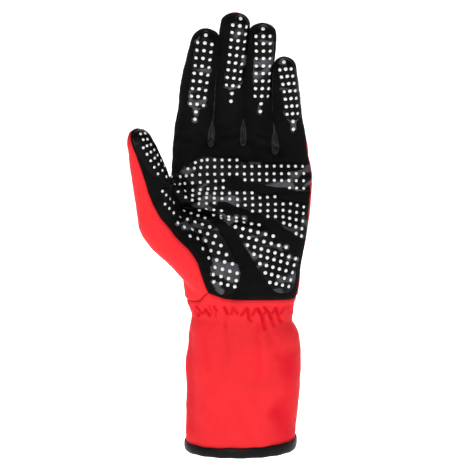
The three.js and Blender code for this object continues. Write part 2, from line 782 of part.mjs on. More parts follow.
// The cuff with its gathers, and the binding folded over its hem
const belowHem = -0.2;
const cuffTop = cuffRings[cuffRings.length - 1];
const hemRise = bindingThickness + bindingGap;
const aboveHem = prism(
  [
    [-farAway, hemRise],
    [farAway, hemRise],
    [farAway, farAway],
    [-farAway, farAway],
  ],
  -farAway,
  farAway,
);
const cuffOuter = cuffSolid(0, cuffSides, 0, cuffTop).add(thumbSolid(0, fingerSides));
const cuffInner = cuffSolid(-clothWall, cuffSides, belowHem, cuffTop + 0.02).add(
  thumbSolid(-clothWall, fingerHollowSides),
);
addPiece(
  "cuff",
  cuffOuter.subtract(cuffInner).intersect(cuffSide(-halfGap)).intersect(aboveHem),
  colours.redCloth,
  0.7,
);

const bandOuter = bindingGap + bindingThickness;
const bindingBand = hemSolid(bandOuter, 0, bindingHeight).subtract(
  hemSolid(-clothWall - bandOuter, belowHem, bindingHeight + 1),
);
const cuffRoom = hemSolid(bindingGap, bindingThickness, bindingHeight + 1).subtract(
  hemSolid(-clothWall - bindingGap, bindingThickness + belowHem, bindingHeight + 1),
);
addPiece("hem_binding", bindingBand.subtract(cuffRoom), colours.binding, 0.8);

// The grip print
const skin = handSolid(printGap + printThickness, palmSides, fingerSides).subtract(
  handSolid(printGap, palmSides, fingerSides),
);
function palmPrint(grow) {
  const outlines = [...palmBands, bandJoin].map((rows) => palmBandOutline(rows, grow));
  return printLayer(skin, outlines, 0, 0);
}
addPiece("palm_grip", palmPrint(0), colours.print, 0.4);
for (const name of Object.keys(fingers)) {
  const { length, width } = fingers[name];
  const rows = stripRows(stripStarts[name], (share) => {
    const z = palmTop + share * length;
    return { x: fingerAcross(name, z) + stripShift[name] * width, z };
  });
  const half = printLayer(skin, [bandOutline(rows)], 0, farAway).intersect(palmSide(-halfGap));
  addPiece(`${name}_grip`, half, colours.print, 0.4);
}
const gripTurn = THREE.MathUtils.degToRad(thumbGripTurn);
const thumbLine = thumbRows().map(({ point }) => ({
  z: point.z,
  x: point.x * Math.cos(gripTurn) + point.y * Math.sin(gripTurn),
}));
const thumbBandEnd = palmBands[3][0];
const thumbStripRise = (thumbBandEnd.along + thumbBandEnd.half) * palmLength + thumbStripClearance;
const thumbStrip = stripRows(thumbStripRise / thumbRise, (share) => {
  const z = wristHeight + share * thumbRise;
  return { x: columnAt(thumbLine, "z", "x", z), z };
});
addPiece(
  "thumb_grip",
  printLayer(skin, [bandOutline(thumbStrip)], thumbGripTurn, thumbReach * 0.6).subtract(
    palmPrint(thumbStripClearance / 2),
  ),
  colours.print,
  0.4,
);

export default glove;
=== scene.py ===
# Karting glove for the left hand, seen from its palm and filled as it is on a hand.
# Blender works in metres. The dictionaries below hold millimetres: x runs away from the thumb,
# -y faces out of the palm, and z points to the fingertips, from 0 at the hem.
import math

import bmesh
import bpy
import numpy as np
from mathutils import Matrix, Vector, noise
from mathutils.bvhtree import BVHTree
from mathutils.kdtree import KDTree


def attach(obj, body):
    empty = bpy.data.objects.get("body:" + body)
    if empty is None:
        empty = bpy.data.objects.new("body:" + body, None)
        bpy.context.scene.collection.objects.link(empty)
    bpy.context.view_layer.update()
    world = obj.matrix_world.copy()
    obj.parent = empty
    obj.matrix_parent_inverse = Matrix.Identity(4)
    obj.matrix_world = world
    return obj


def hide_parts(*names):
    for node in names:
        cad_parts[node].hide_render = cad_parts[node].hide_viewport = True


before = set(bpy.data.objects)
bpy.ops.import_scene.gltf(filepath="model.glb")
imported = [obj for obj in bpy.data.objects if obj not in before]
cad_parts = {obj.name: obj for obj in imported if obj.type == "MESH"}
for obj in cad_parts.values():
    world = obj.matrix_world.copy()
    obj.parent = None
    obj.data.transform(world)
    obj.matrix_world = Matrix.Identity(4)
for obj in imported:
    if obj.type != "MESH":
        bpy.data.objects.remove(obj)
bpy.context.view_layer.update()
mm = 0.001


# Tables

def table(heads, *rows):
    return dict(zip(heads.split(), np.array(rows, float).T))


def rowsOf(rows):
    return zip(*rows.values())


def readTable(rows, key, column, at):
    # a smooth curve through the rows
    xs, ys = rows[key], rows[column]
    slopes = np.empty_like(ys)
    slopes[1:-1] = (ys[2:] - ys[:-2]) / (xs[2:] - xs[:-2])
    slopes[0] = (ys[1] - ys[0]) / (xs[1] - xs[0])
    slopes[-1] = (ys[-1] - ys[-2]) / (xs[-1] - xs[-2])
    at = np.clip(at, xs[0], xs[-1])
    i = np.clip(np.searchsorted(xs, at, side="right") - 1, 0, len(xs) - 2)
    step = xs[i + 1] - xs[i]
    t = (at - xs[i]) / step
    ends = (2 * t**3 - 3 * t**2 + 1) * ys[i] + (3 * t**2 - 2 * t**3) * ys[i + 1]
    return ends + step * ((t**3 - 2 * t**2 + t) * slopes[i] + (t**3 - t**2) * slopes[i + 1])


def ramp(at, start, end):
    t = np.clip((at - start) / (end - start), 0, 1)
    return t * t * (3 - 2 * t)


# Camera, floor and light

view = {
    "distance": 2200,
    "elevation": 12,
    "aim": (-5.6, 0, 156),
    "millimetresAPixel": 0.7,
    "imageWidth": 467,
    "pictureCentre": (-5.6, 159.25),
    "floorZ": -220,
    "floorReach": 9000,
    "wallHeight": 6000,
    "coveRadius": 1200,
    "floorTone": 0.95,
    "floorGlow": 0.55,
    "skyStrength": 0.2,
}
softboxes = [
    {"name": "keyLight", "place": (-380, -1850, 760), "size": 650, "watts": 14.8, "aim": (0, 0, 150)},
    {"name": "fillLight", "place": (1300, -1500, 200), "size": 1200, "watts": 2.6, "aim": (0, 0, 150)},
    {"name": "backLight", "place": (500, 1500, 900), "size": 1400, "watts": 8, "aim": (0, 0, 150)},
    {"name": "backdropLight", "place": (0, 2000, 2300), "size": 2400, "watts": 70, "aim": (0, 2400, -200)},
]


def makeCamera():
    lens = bpy.data.cameras.new("camera")
    lens.sensor_width = 36
    pixels = view["distance"] / view["millimetresAPixel"]
    lens.lens = pixels * lens.sensor_width / view["imageWidth"]
    lens.clip_end = 50
    camera = bpy.data.objects.new("camera", lens)
    bpy.context.scene.collection.objects.link(camera)
    lift = math.radians(view["elevation"])
    aim = Vector(view["aim"]) * mm
    back = Vector((0, -math.cos(lift), math.sin(lift))) * view["distance"] * mm
    camera.location = aim + back
    camera.rotation_euler = (-back).to_track_quat("-Z", "Y").to_euler()
    bpy.context.scene.camera = camera
    bpy.context.view_layer.update()


def makeStudio():
    world = bpy.data.worlds.new("studio")
    world.use_nodes = True
    sky = world.node_tree.nodes["Background"]
    sky.inputs["Color"].default_value = (1, 1, 1, 1)
    sky.inputs["Strength"].default_value = view["skyStrength"]
    bpy.context.scene.world = world
    for box in softboxes:
        light = bpy.data.lights.new(box["name"], "AREA")
        light.shape = "SQUARE"
        light.size = box["size"] * mm
        light.energy = box["watts"]
        lamp = bpy.data.objects.new(box["name"], light)
        bpy.context.scene.collection.objects.link(lamp)
        lamp.location = Vector(box["place"]) * mm
        way = Vector(box["aim"]) * mm - lamp.location
        lamp.rotation_euler = way.to_track_quat("-Z", "Y").to_euler()

    # a floor that turns up into a wall behind
    bm = bmesh.new()
    reach, floorZ = view["floorReach"] * mm, view["floorZ"] * mm
    bmesh.ops.create_grid(bm, x_segments=1, y_segments=1, size=reach)
    bmesh.ops.translate(bm, vec=(0, 0, floorZ), verts=bm.verts)
    farEdge = [e for e in bm.edges if all(v.co.y > reach / 2 for v in e.verts)]
    raised = bmesh.ops.extrude_edge_only(bm, edges=farEdge)["geom"]
    top = [g for g in raised if isinstance(g, bmesh.types.BMVert)]
    bmesh.ops.translate(bm, vec=(0, 0, view["wallHeight"] * mm), verts=top)
    bmesh.ops.bevel(bm, geom=farEdge, offset=view["coveRadius"] * mm, offset_type="OFFSET", affect="EDGES",
                    segments=24, profile=0.5, material=-1)
    bmesh.ops.recalc_face_normals(bm, faces=bm.faces)
    meshObject("floor", bm, plainFloor())


# Materials

def newMaterial(name, **values):
    # the values go to the shader's own sockets
    material = bpy.data.materials.new(name)
    material.use_nodes = True
    tree = material.node_tree
    shader = tree.nodes["Principled BSDF"]
    for socket, value in values.items():
        shader.inputs[socket.replace("_", " ")].default_value = value
    return material, tree, shader


def addNode(tree, kind, **values):
    node = tree.nodes.new("ShaderNode" + kind)
    for socket, value in values.items():
        node.inputs[socket.replace("_", " ")].default_value = value
    return node


def grain(tree, coordinates, scale, detail=3.0, distortion=0.0):
    node = addNode(tree, "TexNoise", Scale=scale, Detail=detail, Distortion=distortion)
    tree.links.new(coordinates, node.inputs["Vector"])
    return node.outputs["Fac"]


def tones(tree, factor, *stops):
    node = tree.nodes.new("ShaderNodeValToRGB")
    while len(node.color_ramp.elements) < len(stops):
        node.color_ramp.elements.new(0.5)
    for element, (position, colour) in zip(node.color_ramp.elements, stops):
        element.position = position
        element.color = (*colour, 1)
    tree.links.new(factor, node.inputs["Fac"])
    return node.outputs["Color"]


def paint(tree, shader, colour, *others):
    # the shader's colour is the first one multiplied by the others
    for other in others:
        node = tree.nodes.new("ShaderNodeMix")
        node.data_type = "RGBA"
        node.blend_type = "MULTIPLY"
        node.inputs["Factor"].default_value = 1
        tree.links.new(colour, node.inputs[6])
        tree.links.new(other, node.inputs[7])
        colour = node.outputs[2]
    tree.links.new(colour, shader.inputs["Base Color"])


def threads(tree, coordinates, direction, pitch, distortion=0.4):
    # fine ribs across a direction of the object
    scale = 0.314 / (pitch * mm)  # the node makes one band in 0.314 of its unit
    node = addNode(tree, "TexWave", Distortion=distortion, Detail=1.0, Scale=scale, Detail_Scale=2.0)
    node.wave_type = "BANDS"
    node.bands_direction = direction
    tree.links.new(coordinates, node.inputs["Vector"])
    return node.outputs["Fac"]


def mixOf(tree, first, second, share=0.5):
    # two heights in one, with the share that the second has
    node = tree.nodes.new("ShaderNodeMix")
    node.inputs["Factor"].default_value = share
    tree.links.new(first, node.inputs[2])
    tree.links.new(second, node.inputs[3])
    return node.outputs[0]


def bump(tree, shader, height, depth, strength=1.0):
    node = addNode(tree, "Bump", Strength=strength, Distance=depth * mm)
    tree.links.new(height, node.inputs["Height"])
    tree.links.new(node.outputs["Normal"], shader.inputs["Normal"])


def objectCoordinates(tree):
    return tree.nodes.new("ShaderNodeTexCoord").outputs["Object"]


def attribute(tree, name):
    # a value that the mesh carries at its points
    node = tree.nodes.new("ShaderNodeAttribute")
    node.attribute_name = name
    return node.outputs["Fac"]


def plainFloor():
    tone = view["floorTone"]
    return newMaterial("paleFloor", Roughness=0.9, Base_Color=(tone, tone, tone, 1), Specular_IOR_Level=0.1,
                       Emission_Color=(1, 1, 1, 1), Emission_Strength=view["floorGlow"])[0]


suedeFinish = {"dark": 0.0022, "light": 0.0055, "fibre": 0.5, "cloud": 16}
# The red cloth's colours. Those for shallow folds, deep creases and seams are painted shade, laid into the
# cloth where it folds and beside its seams.
clothFinish = {
    "red": (0.97, 0.034, 0.041),
    "shade": (0.92, 0.022, 0.030),
    "hollow": (0.93, 0.42, 0.72),
    "seam": (0.6, 0.3, 0.36),
    "crease": (0.52, 0.10, 0.28),
    "thread": 0.42,
}
printFinish = {
    "black": 0.0018,
    "smoke": (0.09, 0.09, 0.10),
    "smokeSize": 15,
    "smokeFrom": {"palm": 0.56, "finger": 0.57, "thumb": 0.7},
}


def suedeMaterial():
    finish = suedeFinish
    material, tree, shader = newMaterial(
        "blackSuede", Roughness=0.9, Specular_IOR_Level=0.08,
        Sheen_Weight=0.03, Sheen_Roughness=0.5, Sheen_Tint=(0.5, 0.5, 0.55, 1))
    place = objectCoordinates(tree)
    fibres = grain(tree, place, 1 / (finish["fibre"] * mm), 5.0)
    nap = grain(tree, place, 1 / (finish["cloud"] * mm), 2.0, 0.6)
    dark, light = finish["dark"], finish["light"]
    fine = tones(tree, fibres, (0.3, (dark,) * 3), (0.75, (light, light, light * 1.08)))
    broad = tones(tree, nap, (0.35, (0.72,) * 3), (0.68, (1.25,) * 3))
    paint(tree, shader, fine, broad)
    bump(tree, shader, fibres, 0.12, 0.6)
    return material


def clothMaterial():
    # red cloth, with painted shade in its folds and beside its seams
    finish = clothFinish
    material, tree, shader = newMaterial("redCloth", Roughness=0.55, Specular_IOR_Level=0.07)
    place = objectCoordinates(tree)
    warp = threads(tree, place, "Z", finish["thread"])
    weft = threads(tree, place, "DIAGONAL", finish["thread"] * 1.5, 0.8)
    weave = mixOf(tree, warp, weft)
    cloud = grain(tree, place, 1 / (22 * mm), 2.0, 0.4)
    red, shade = finish["red"], finish["shade"]
    threadsTone = tones(tree, weave, (0.1, shade), (0.7, red))
    broad = tones(tree, cloud, (0.35, (0.94,) * 3), (0.7, (1.0,) * 3))
    # painted shade in the folds, from the values that the mesh carries
    creased = tones(tree, attribute(tree, "crease"),
                    (0.02, (1, 1, 1)), (0.22, finish["hollow"]), (0.7, finish["crease"]))
    # painted shade beside the seams
    sewn = tones(tree, attribute(tree, "edge"), (0.25, (1, 1, 1)), (0.9, finish["seam"]))
    paint(tree, shader, threadsTone, broad, creased, sewn)
    bump(tree, shader, weave, 0.09, 0.35)
    return material


def knitMaterial():
    material, tree, shader = newMaterial(
        "stretchKnit", Roughness=0.75, Specular_IOR_Level=0.2, Sheen_Weight=0.2)
    place = objectCoordinates(tree)
    ribs = threads(tree, place, "Z", 0.8, 0.6)
    ribTone = tones(tree, ribs, (0.15, (0.45,) * 3), (0.8, (1.0,) * 3))
    # the knit keeps its own dark navy beside its seams and is painted near black away from them, as shade
    # between the fingers
    seamToneAndShade = tones(tree, attribute(tree, "edge"), (0.12, (0.0025, 0.0025, 0.004)), (0.5, (0.027, 0.028, 0.039)))
    paint(tree, shader, ribTone, seamToneAndShade)
    bump(tree, shader, ribs, 0.2, 0.7)
    return material


def tapeMaterial():
    material, tree, shader = newMaterial("bindingTape", Roughness=0.4, Specular_IOR_Level=0.14)
    place = objectCoordinates(tree)
    ribs = mixOf(tree, threads(tree, place, "Z", 0.7), threads(tree, place, "X", 0.9), 0.35)
    paint(tree, shader, tones(tree, ribs, (0.15, (0.0008, 0.0007, 0.0011)), (0.8, (0.0035, 0.0031, 0.0045))))
    bump(tree, shader, ribs, 0.15, 0.6)
    return material


def printMaterial(name, smokeFrom):
    # black silicone with a plain smoky tone drifting across it, less of it where smokeFrom is higher
    finish = printFinish
    material, tree, shader = newMaterial(name, Roughness=0.45, Specular_IOR_Level=0.1)
    place = objectCoordinates(tree)
    drift = addNode(tree, "Mapping", Rotation=(0, 0.5, 0), Scale=(0.75, 1, 1.5), Location=(0.013, 0, 0.021))
    tree.links.new(place, drift.inputs["Vector"])
    smoke = grain(tree, drift.outputs["Vector"], 1 / (finish["smokeSize"] * mm), 0.6, 0.9)
    cloud = grain(tree, place, 1 / (6 * mm), 2.0)
    black = (finish["black"],) * 3
    patches = tones(tree, smoke, (smokeFrom, black), (smokeFrom + 0.07, finish["smoke"]))
    broad = tones(tree, cloud, (0.3, (0.55,) * 3), (0.7, (1.0,) * 3))
    paint(tree, shader, patches, broad)
    bump(tree, shader, grain(tree, place, 1 / (0.9 * mm), 2.0), 0.05, 0.4)
    return material


def dotMaterial():
    material, tree, shader = newMaterial("whiteSilicone", Roughness=0.4)
    cloud = grain(tree, objectCoordinates(tree), 1 / (2.5 * mm))
    paint(tree, shader, tones(tree, cloud, (0.3, (0.86,) * 3), (0.7, (0.93,) * 3)))
    return material


def threadMaterial(name, colour):
    material, tree, shader = newMaterial(name, Roughness=0.6, Specular_IOR_Level=0.08)
    twist = threads(tree, objectCoordinates(tree), "DIAGONAL", 0.35)
    paint(tree, shader, tones(tree, twist, (0.2, tuple(c * 0.6 for c in colour)), (0.8, colour)))
    bump(tree, shader, twist, 0.08)
    return material


# Mesh helpers

def meshObject(name, bm, *materials):
    mesh = bpy.data.meshes.new(name)
    bm.to_mesh(mesh)
    bm.free()
    mesh.shade_smooth()
    for material in materials:
        mesh.materials.append(material)
    ob = bpy.data.objects.new(name, mesh)
    bpy.context.scene.collection.objects.link(ob)
    return ob


def wrapGrid(bm, around, along, place):
    # a flat grid wrapped into a tube: its width goes once round, its height runs along
    sheet = bmesh.ops.create_grid(bm, x_segments=around, y_segments=along, size=1)["verts"]
    flat = np.array([v.co for v in sheet])
    for vert, co in zip(sheet, place((flat[:, 0] + 1) / 2, (flat[:, 1] + 1) / 2)):
        vert.co = co * mm
    bmesh.ops.remove_doubles(bm, verts=sheet, dist=0.01 * mm)


def placesOf(bm):
    return np.array([v.co for v in bm.verts]) / mm


def movePlaces(bm, places):
    for vert, co in zip(bm.verts, places * mm):
        vert.co = co


def moveBy(moves):
    for vert, move in moves:
        vert.co += move


def keepAbove(bm, height, tolerance):
    bmesh.ops.bisect_plane(bm, geom=bm.verts[:] + bm.edges[:] + bm.faces[:], dist=tolerance,
                           plane_co=(0, 0, height), plane_no=(0, 0, 1), clear_inner=True)


def fillHoles(bm):
    bmesh.ops.holes_fill(bm, edges=[e for e in bm.edges if e.is_boundary], sides=0)


def normalsOf(bm):
    bm.normal_update()
    return np.array([v.normal for v in bm.verts])


def cutAlong(bm, field, wanted=None):
    # gives the mesh an edge wherever the field passes through zero
    bm.verts.index_update()
    value = field(placesOf(bm))
    inside = np.ones(len(value), bool) if wanted is None else wanted(placesOf(bm))
    near = 0.15
    crossing = []
    for edge in bm.edges:
        a, b = edge.verts
        if value[a.index] * value[b.index] < 0 and inside[a.index] and inside[b.index]:
            crossing.append((edge, a, b, value[a.index] / (value[a.index] - value[b.index])))
    moved = {}
    for edge, a, b, t in crossing:
        if t < near or t > 1 - near:
            vert, share = (a, t) if t < near else (b, 1 - t)
            if vert not in moved or share < moved[vert][0]:
                moved[vert] = (share, a.co.lerp(b.co, t))
    for vert, (share, co) in moved.items():
        vert.co = co
    line = list(moved)
    for edge, a, b, t in crossing:
        if a not in moved and b not in moved:
            line.append(bmesh.utils.edge_split(edge, a, t)[1])
    bmesh.ops.connect_verts(bm, verts=line)


def addWall(ob, thickness, offset):
    wall = ob.modifiers.new("wall", "SOLIDIFY")
    wall.thickness = thickness * mm
    wall.offset = offset


def handOver(ob, node=None):
    # hides the solid that the piece dresses, if it has one, and hangs the piece on the root body
    if node:
        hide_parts(node)
    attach(ob, "root")
    return ob


def joinedObject(name, shape, spots, material, turns):
    # many copies of a small shape in one mesh
    bm = bmesh.new()
    seed = bmesh.new()
    shape(seed)
    small = bpy.data.meshes.new(name + "Seed")
    seed.to_mesh(small)
    seed.free()
    for spot, turn in zip(spots, turns):
        before = len(bm.verts)
        bm.from_mesh(small)
        bm.verts.ensure_lookup_table()
        bmesh.ops.transform(bm, matrix=Matrix.Translation(spot) @ turn, verts=bm.verts[before:])
    bpy.data.meshes.remove(small)
    return meshObject(name, bm, material)


# The glove's form

body = {
    "hemZ": 0.9,
    "below": -6,
    "crotchZ": 220,
    "crown": 1.5,
    # the crotches drop towards the little finger
    "crotchFall": {"most": 6, "x": (9.9, 31.7), "from": 184.6, "over": 35.4},
    "sections": table(
        "z thumbSide littleSide palmar dorsal square",
        (-6.0, 39.2, 37.6, 27.0, 27.0, 2.1),
        (0.0, 39.2, 37.8, 27.0, 27.0, 2.1),
        (22.4, 39.4, 39.4, 27.0, 27.0, 2.1),
        (42.8, 39.0, 41.4, 27.5, 27.0, 2.1),
        (64.3, 39.4, 41.8, 27.5, 27.0, 2.1),
        (77.0, 37.8, 41.2, 26.8, 26.3, 2.1),
        (85.5, 37.0, 39.8, 25.6, 25.2, 2.1),
        (89.8, 36.4, 37.8, 24.8, 24.4, 2.1),
        (94.1, 35.6, 35.4, 23.8, 23.6, 2.1),
        (98.4, 34.9, 36.1, 22.8, 22.8, 2.1),
        (102.6, 36.1, 36.4, 22.4, 22.3, 2.1),
        (107.0, 37.5, 37.1, 22.5, 22.3, 2.15),
        (111.3, 39.2, 39.0, 22.5, 22.0, 2.2),
        (119.7, 40.6, 40.2, 22.5, 21.3, 2.25),
        (133.9, 41.6, 41.7, 21.6, 20.7, 2.3),
        (148.0, 43.1, 44.0, 19.8, 20.6, 2.35),
        (162.2, 44.6, 46.5, 17.4, 20.3, 2.4),
        (178.7, 46.8, 48.6, 14.4, 19.8, 2.4),
        (199.9, 49.2, 49.4, 10.5, 18.8, 2.3),
        (210.6, 48.2, 47.9, 8.3, 17.4, 2.2),
        (220.0, 46.7, 45.9, 5.1, 14.7, 2.1),
    ),
    "middle": table("z y", (0, 0), (114, 0), (148, 0.45), (178.7, 2.7), (199.9, 4.35), (215.3, 4.8)),
    "fingerLean": 25,
    "leanLength": 93.2,
    "leanCurve": 1.7,
}
fingers = {
    "index": {"tip": 10.4, "rows": table(
        "up x width depth", (-22.3, -35.5, 25.0, 18.9), (0, -34.8, 26.8, 21), (23.2, -32.2, 25.6, 20.6),
        (46.3, -30.2, 24.2, 19.7), (66.2, -26.3, 22.2, 18.1), (82.7, -23.7, 19.6, 16))},
    "middle": {"tip": 8.4, "rows": table(
        "up x width depth", (-22.4, -10.0, 21.1, 18.9), (0, -9.8, 23.2, 21), (26.1, -8.8, 21.9, 20.6),
        (52.2, -7.6, 21.4, 19.7), (74.6, -5.5, 21.3, 18.1), (94.0, -3.9, 20.4, 16))},
    "ring": {"tip": 7.8, "rows": table(
        "up x width depth", (-21.7, 12.5, 21.2, 18.9), (0, 11.9, 23.1, 21), (24.2, 11.7, 21.2, 20.6),
        (48.5, 12.2, 20.1, 19.7), (69.3, 13.8, 20.0, 18.1), (86.6, 14.4, 19.2, 16))},
    "little": {"tip": 7.8, "rows": table(
        "up x width depth", (-21.9, 35.6, 21.0, 17.9), (0, 34.7, 23.0, 20.2), (17.5, 32.8, 21.4, 19.3),
        (35, 31.2, 19.9, 18.1), (50, 30.3, 17.2, 16.4), (61.8, 29.9, 16.2, 14.7))},
}
# between two fingers: where the crotch lies, how much closer they come than they were drawn, and half the
# width of the tongue of stretch cloth
gaps = [
    {"first": "index", "second": "middle", "crotchZ": 219.5, "closer": 0.4, "tongue": 2.15},
    {"first": "middle", "second": "ring", "crotchZ": 220.2, "closer": 0.5, "tongue": 1.95},
    {"first": "ring", "second": "little", "crotchZ": 214.0, "closer": 0.5, "tongue": 2.1},
]
# the fingers are held apart while the form is fused, or they would fuse too
fusing = {"voxel": 1.0, "smoothings": 4, "apart": 3.4, "opensBelow": 5, "opensAbove": 8,
          "soft": 0.6, "softAtCrotch": 5}
thumb = {
    "tip": 9.3,
    "clearOf": (-45, -12, 205),  # beyond this corner the form is only the thumb
    "rows": table(
        "x y z width",
        (-14.0, -5.0, 110.6, 24.0),
        (-25.0, -11.0, 126.9, 25.0),
        (-40.0, -13.5, 147.7, 31.0),
        (-56.0, -17.0, 164.5, 29.0),
        (-60.0, -20.5, 182.7, 27.2),
        (-62.7, -24.5, 199.5, 25.4),
        (-66.2, -28.5, 212.7, 22.8),
        (-69.0, -31.0, 223.6, 19.0),
        (-73.6, -32.0, 236.0, 14.6),
    ),
    # where the red side meets the black front: the share of the half width, in a plane turned this much
    "seamTurn": -30,
    "seam": table("z share", (110, 0.34), (121.5, 0.4), (130.5, 0.53), (139.5, 0.72), (148.4, 0.8),
                  (156.5, 0.86), (165.6, 0.88), (174.5, 0.67), (183.5, 0.46), (192, 0.33),
                  (200.5, 0.27), (209.6, 0.2), (217.5, 0.08), (225.5, -0.08), (236, -0.3)),
    "edge": table("z x", (102, -20.5), (117, -22.6), (121, -24.4), (131.5, -27.6), (161, -35.6),
                  (184.6, -44.6), (198.8, -49.8), (203, -51), (255, -51)),
}
# what fills the corner between the thumb and the palm
webs = [
    {"tip": 5, "rows": table("x y z width depth", (-29.7, 0, 159, 28, 18), (-45, -7.5, 172, 33, 15),
                             (-59, -17, 180.5, 35, 13))},
    {"tip": 4, "rows": table("x y z width depth", (-39, 3, 186, 25, 9), (-50, -8, 187.6, 22.6, 8),
                             (-60, -18, 186.5, 22, 9))},
]


def middleY(z):
    lean = np.clip((z - body["crotchZ"]) / body["leanLength"], 0, None) ** body["leanCurve"]
    return readTable(body["middle"], "z", "y", z) - body["fingerLean"] * lean


def sectionAt(z):
    return {key: readTable(body["sections"], "z", key, z) for key in body["sections"] if key != "z"}


def squarer(value, square):
    # turns the sine or cosine of an ellipse into that of a squarer one
    return np.sign(value) * np.abs(value) ** (2 / square)


def bodyPlace(u, v):
    # v runs up the body to its crown
    angle = 2 * np.pi * u
    crownAt = 0.93
    up = np.clip(v / crownAt, 0, 1)
    over = np.clip((v - crownAt) / (1 - crownAt), 0, 1) * np.pi / 2
    z = body["below"] + up * (body["crotchZ"] - body["below"])
    row = sectionAt(z)
    c, s = np.cos(angle), np.sin(angle)
    x = np.where(c > 0, row["littleSide"], row["thumbSide"]) * squarer(c, row["square"])
    deep = (row["dorsal"] + row["palmar"]) / 2
    y = (row["dorsal"] - row["palmar"]) / 2 + deep * squarer(s, row["square"])
    crotchY = middleY(body["crotchZ"])
    y = crotchY + (y - crotchY) * np.cos(over)
    lower = body["crotchFall"]
    fall = lower["most"] * ramp(x, *lower["x"]) * np.clip((z - lower["from"]) / lower["over"], 0, 1)
    return np.stack([x, y, z + body["crown"] * np.sin(over) - fall], axis=1)


def tubePlace(rows, tip):
    # round a curve through the rows, closing in a round tip
    line = np.stack([rows["x"], rows["y"], rows["z"]], axis=1)
    rows["at"] = np.concatenate([[0], np.cumsum(np.linalg.norm(np.diff(line, axis=0), axis=1))])
    end = rows["at"][-1]
    bend = 0.62

    def centre(at):
        return np.stack([readTable(rows, "at", key, at) for key in "xyz"], axis=1)

    def place(u, v):
        turn = np.clip((v - bend) / (1 - bend), 0, 1) * np.pi / 2
        at = np.clip(v / bend, 0, 1) * (end - tip) + tip * np.sin(turn)
        way = centre(np.minimum(at + 0.5, end)) - centre(np.minimum(at + 0.5, end) - 1)
        way /= np.linalg.norm(way, axis=1)[:, None]
        side = np.cross((0, 1, 0), way)
        side /= np.linalg.norm(side, axis=1)[:, None]
        deep = np.cross(way, side)
        closing = np.cos(turn) / 2
        width = readTable(rows, "at", "width", at) * closing
        depth = readTable(rows, "at", "depth" if "depth" in rows else "width", at) * closing
        angle = 2 * np.pi * u
        return centre(at) + side * (width * np.cos(angle))[:, None] + deep * (depth * np.sin(angle))[:, None]

    return place


def divider(gap, z):
    # the line where two fingers touch
    up = z - body["crotchZ"]
    first, second = fingers[gap["first"]]["rows"], fingers[gap["second"]]["rows"]
    left = readTable(first, "up", "x", up) + readTable(first, "up", "width", up) / 2
    right = readTable(second, "up", "x", up) - readTable(second, "up", "width", up) / 2
    return (left + right) / 2


def opening(gap, z, width):
    return width * ramp(z, gap["crotchZ"] - fusing["opensBelow"], gap["crotchZ"] + fusing["opensAbove"])


def fanOut(number, z):
    # how far a finger is moved aside before the form is fused
    first, second, third = (opening(gap, z, fusing["apart"]) for gap in gaps)
    return (-second / 2 - first, -second / 2, second / 2, second / 2 + third)[number]


def fanIn(places):
    # brings the fingers back together, each by its own way
    x, y, z = places.T
    held = [opening(gap, z, fusing["apart"]) for gap in gaps]
    lines = (-held[1] / 2 - held[0] / 2, 0 * z, held[1] / 2 + held[2] / 2)
    shift = 0
    for number, gap in enumerate(gaps):
        at = divider(gap, z) + lines[number]
        soft = fusing["soft"] + fusing["softAtCrotch"] * (1 - ramp(z, gap["crotchZ"] - 5, gap["crotchZ"] + 4))
        beyond = ramp(x, at - soft / 2, at + soft / 2)
        closed = opening(gap, z, fusing["apart"] + gap["closer"])
        shift = shift + closed * (beyond - (1, 0.5, 0)[number])
    edgeX, edgeY, edgeZ = thumb["clearOf"]
    isThumb = (x < edgeX) & (y < edgeY) & (z > edgeZ)
    places[:, 0] -= np.where(isThumb, 0, shift)
    return places


def rawForm():
    bm = bmesh.new()
    wrapGrid(bm, around=96, along=110, place=bodyPlace)
    for number, finger in enumerate(fingers.values()):
        rows = {key: finger["rows"][key] for key in ("x", "width", "depth")}
        rows["z"] = finger["rows"]["up"] + body["crotchZ"]
        rows["y"] = middleY(rows["z"])
        place = tubePlace(rows, finger["tip"])

        def fanned(u, v):
            places = place(u, v)
            places[:, 0] += fanOut(number, places[:, 2])
            return places

        wrapGrid(bm, around=40, along=48, place=fanned)
    wrapGrid(bm, around=44, along=56, place=tubePlace(thumb["rows"], thumb["tip"]))
    for web in webs:
        wrapGrid(bm, around=48, along=40, place=tubePlace(web["rows"], web["tip"]))
    fillHoles(bm)
    bmesh.ops.recalc_face_normals(bm, faces=bm.faces)
    return bm


def fusedForm():
    # one even skin over the palm, cuff, fingers and thumb
    raw = meshObject("rawForm", rawForm())
    remesh = raw.modifiers.new("fuse", "REMESH")
    remesh.mode = "VOXEL"
    remesh.voxel_size = fusing["voxel"] * mm
    bpy.context.view_layer.update()
    fused = raw.evaluated_get(bpy.context.evaluated_depsgraph_get()).to_mesh()
    bm = bmesh.new()
    bm.from_mesh(fused)
    bpy.data.objects.remove(raw)
    for step in range(fusing["smoothings"]):
        bmesh.ops.smooth_vert(bm, verts=bm.verts, factor=0.5,
                              use_axis_x=True, use_axis_y=True, use_axis_z=True)
    movePlaces(bm, fanIn(placesOf(bm)))
    keepAbove(bm, body["hemZ"] * mm, 0.02 * mm)
    return bm


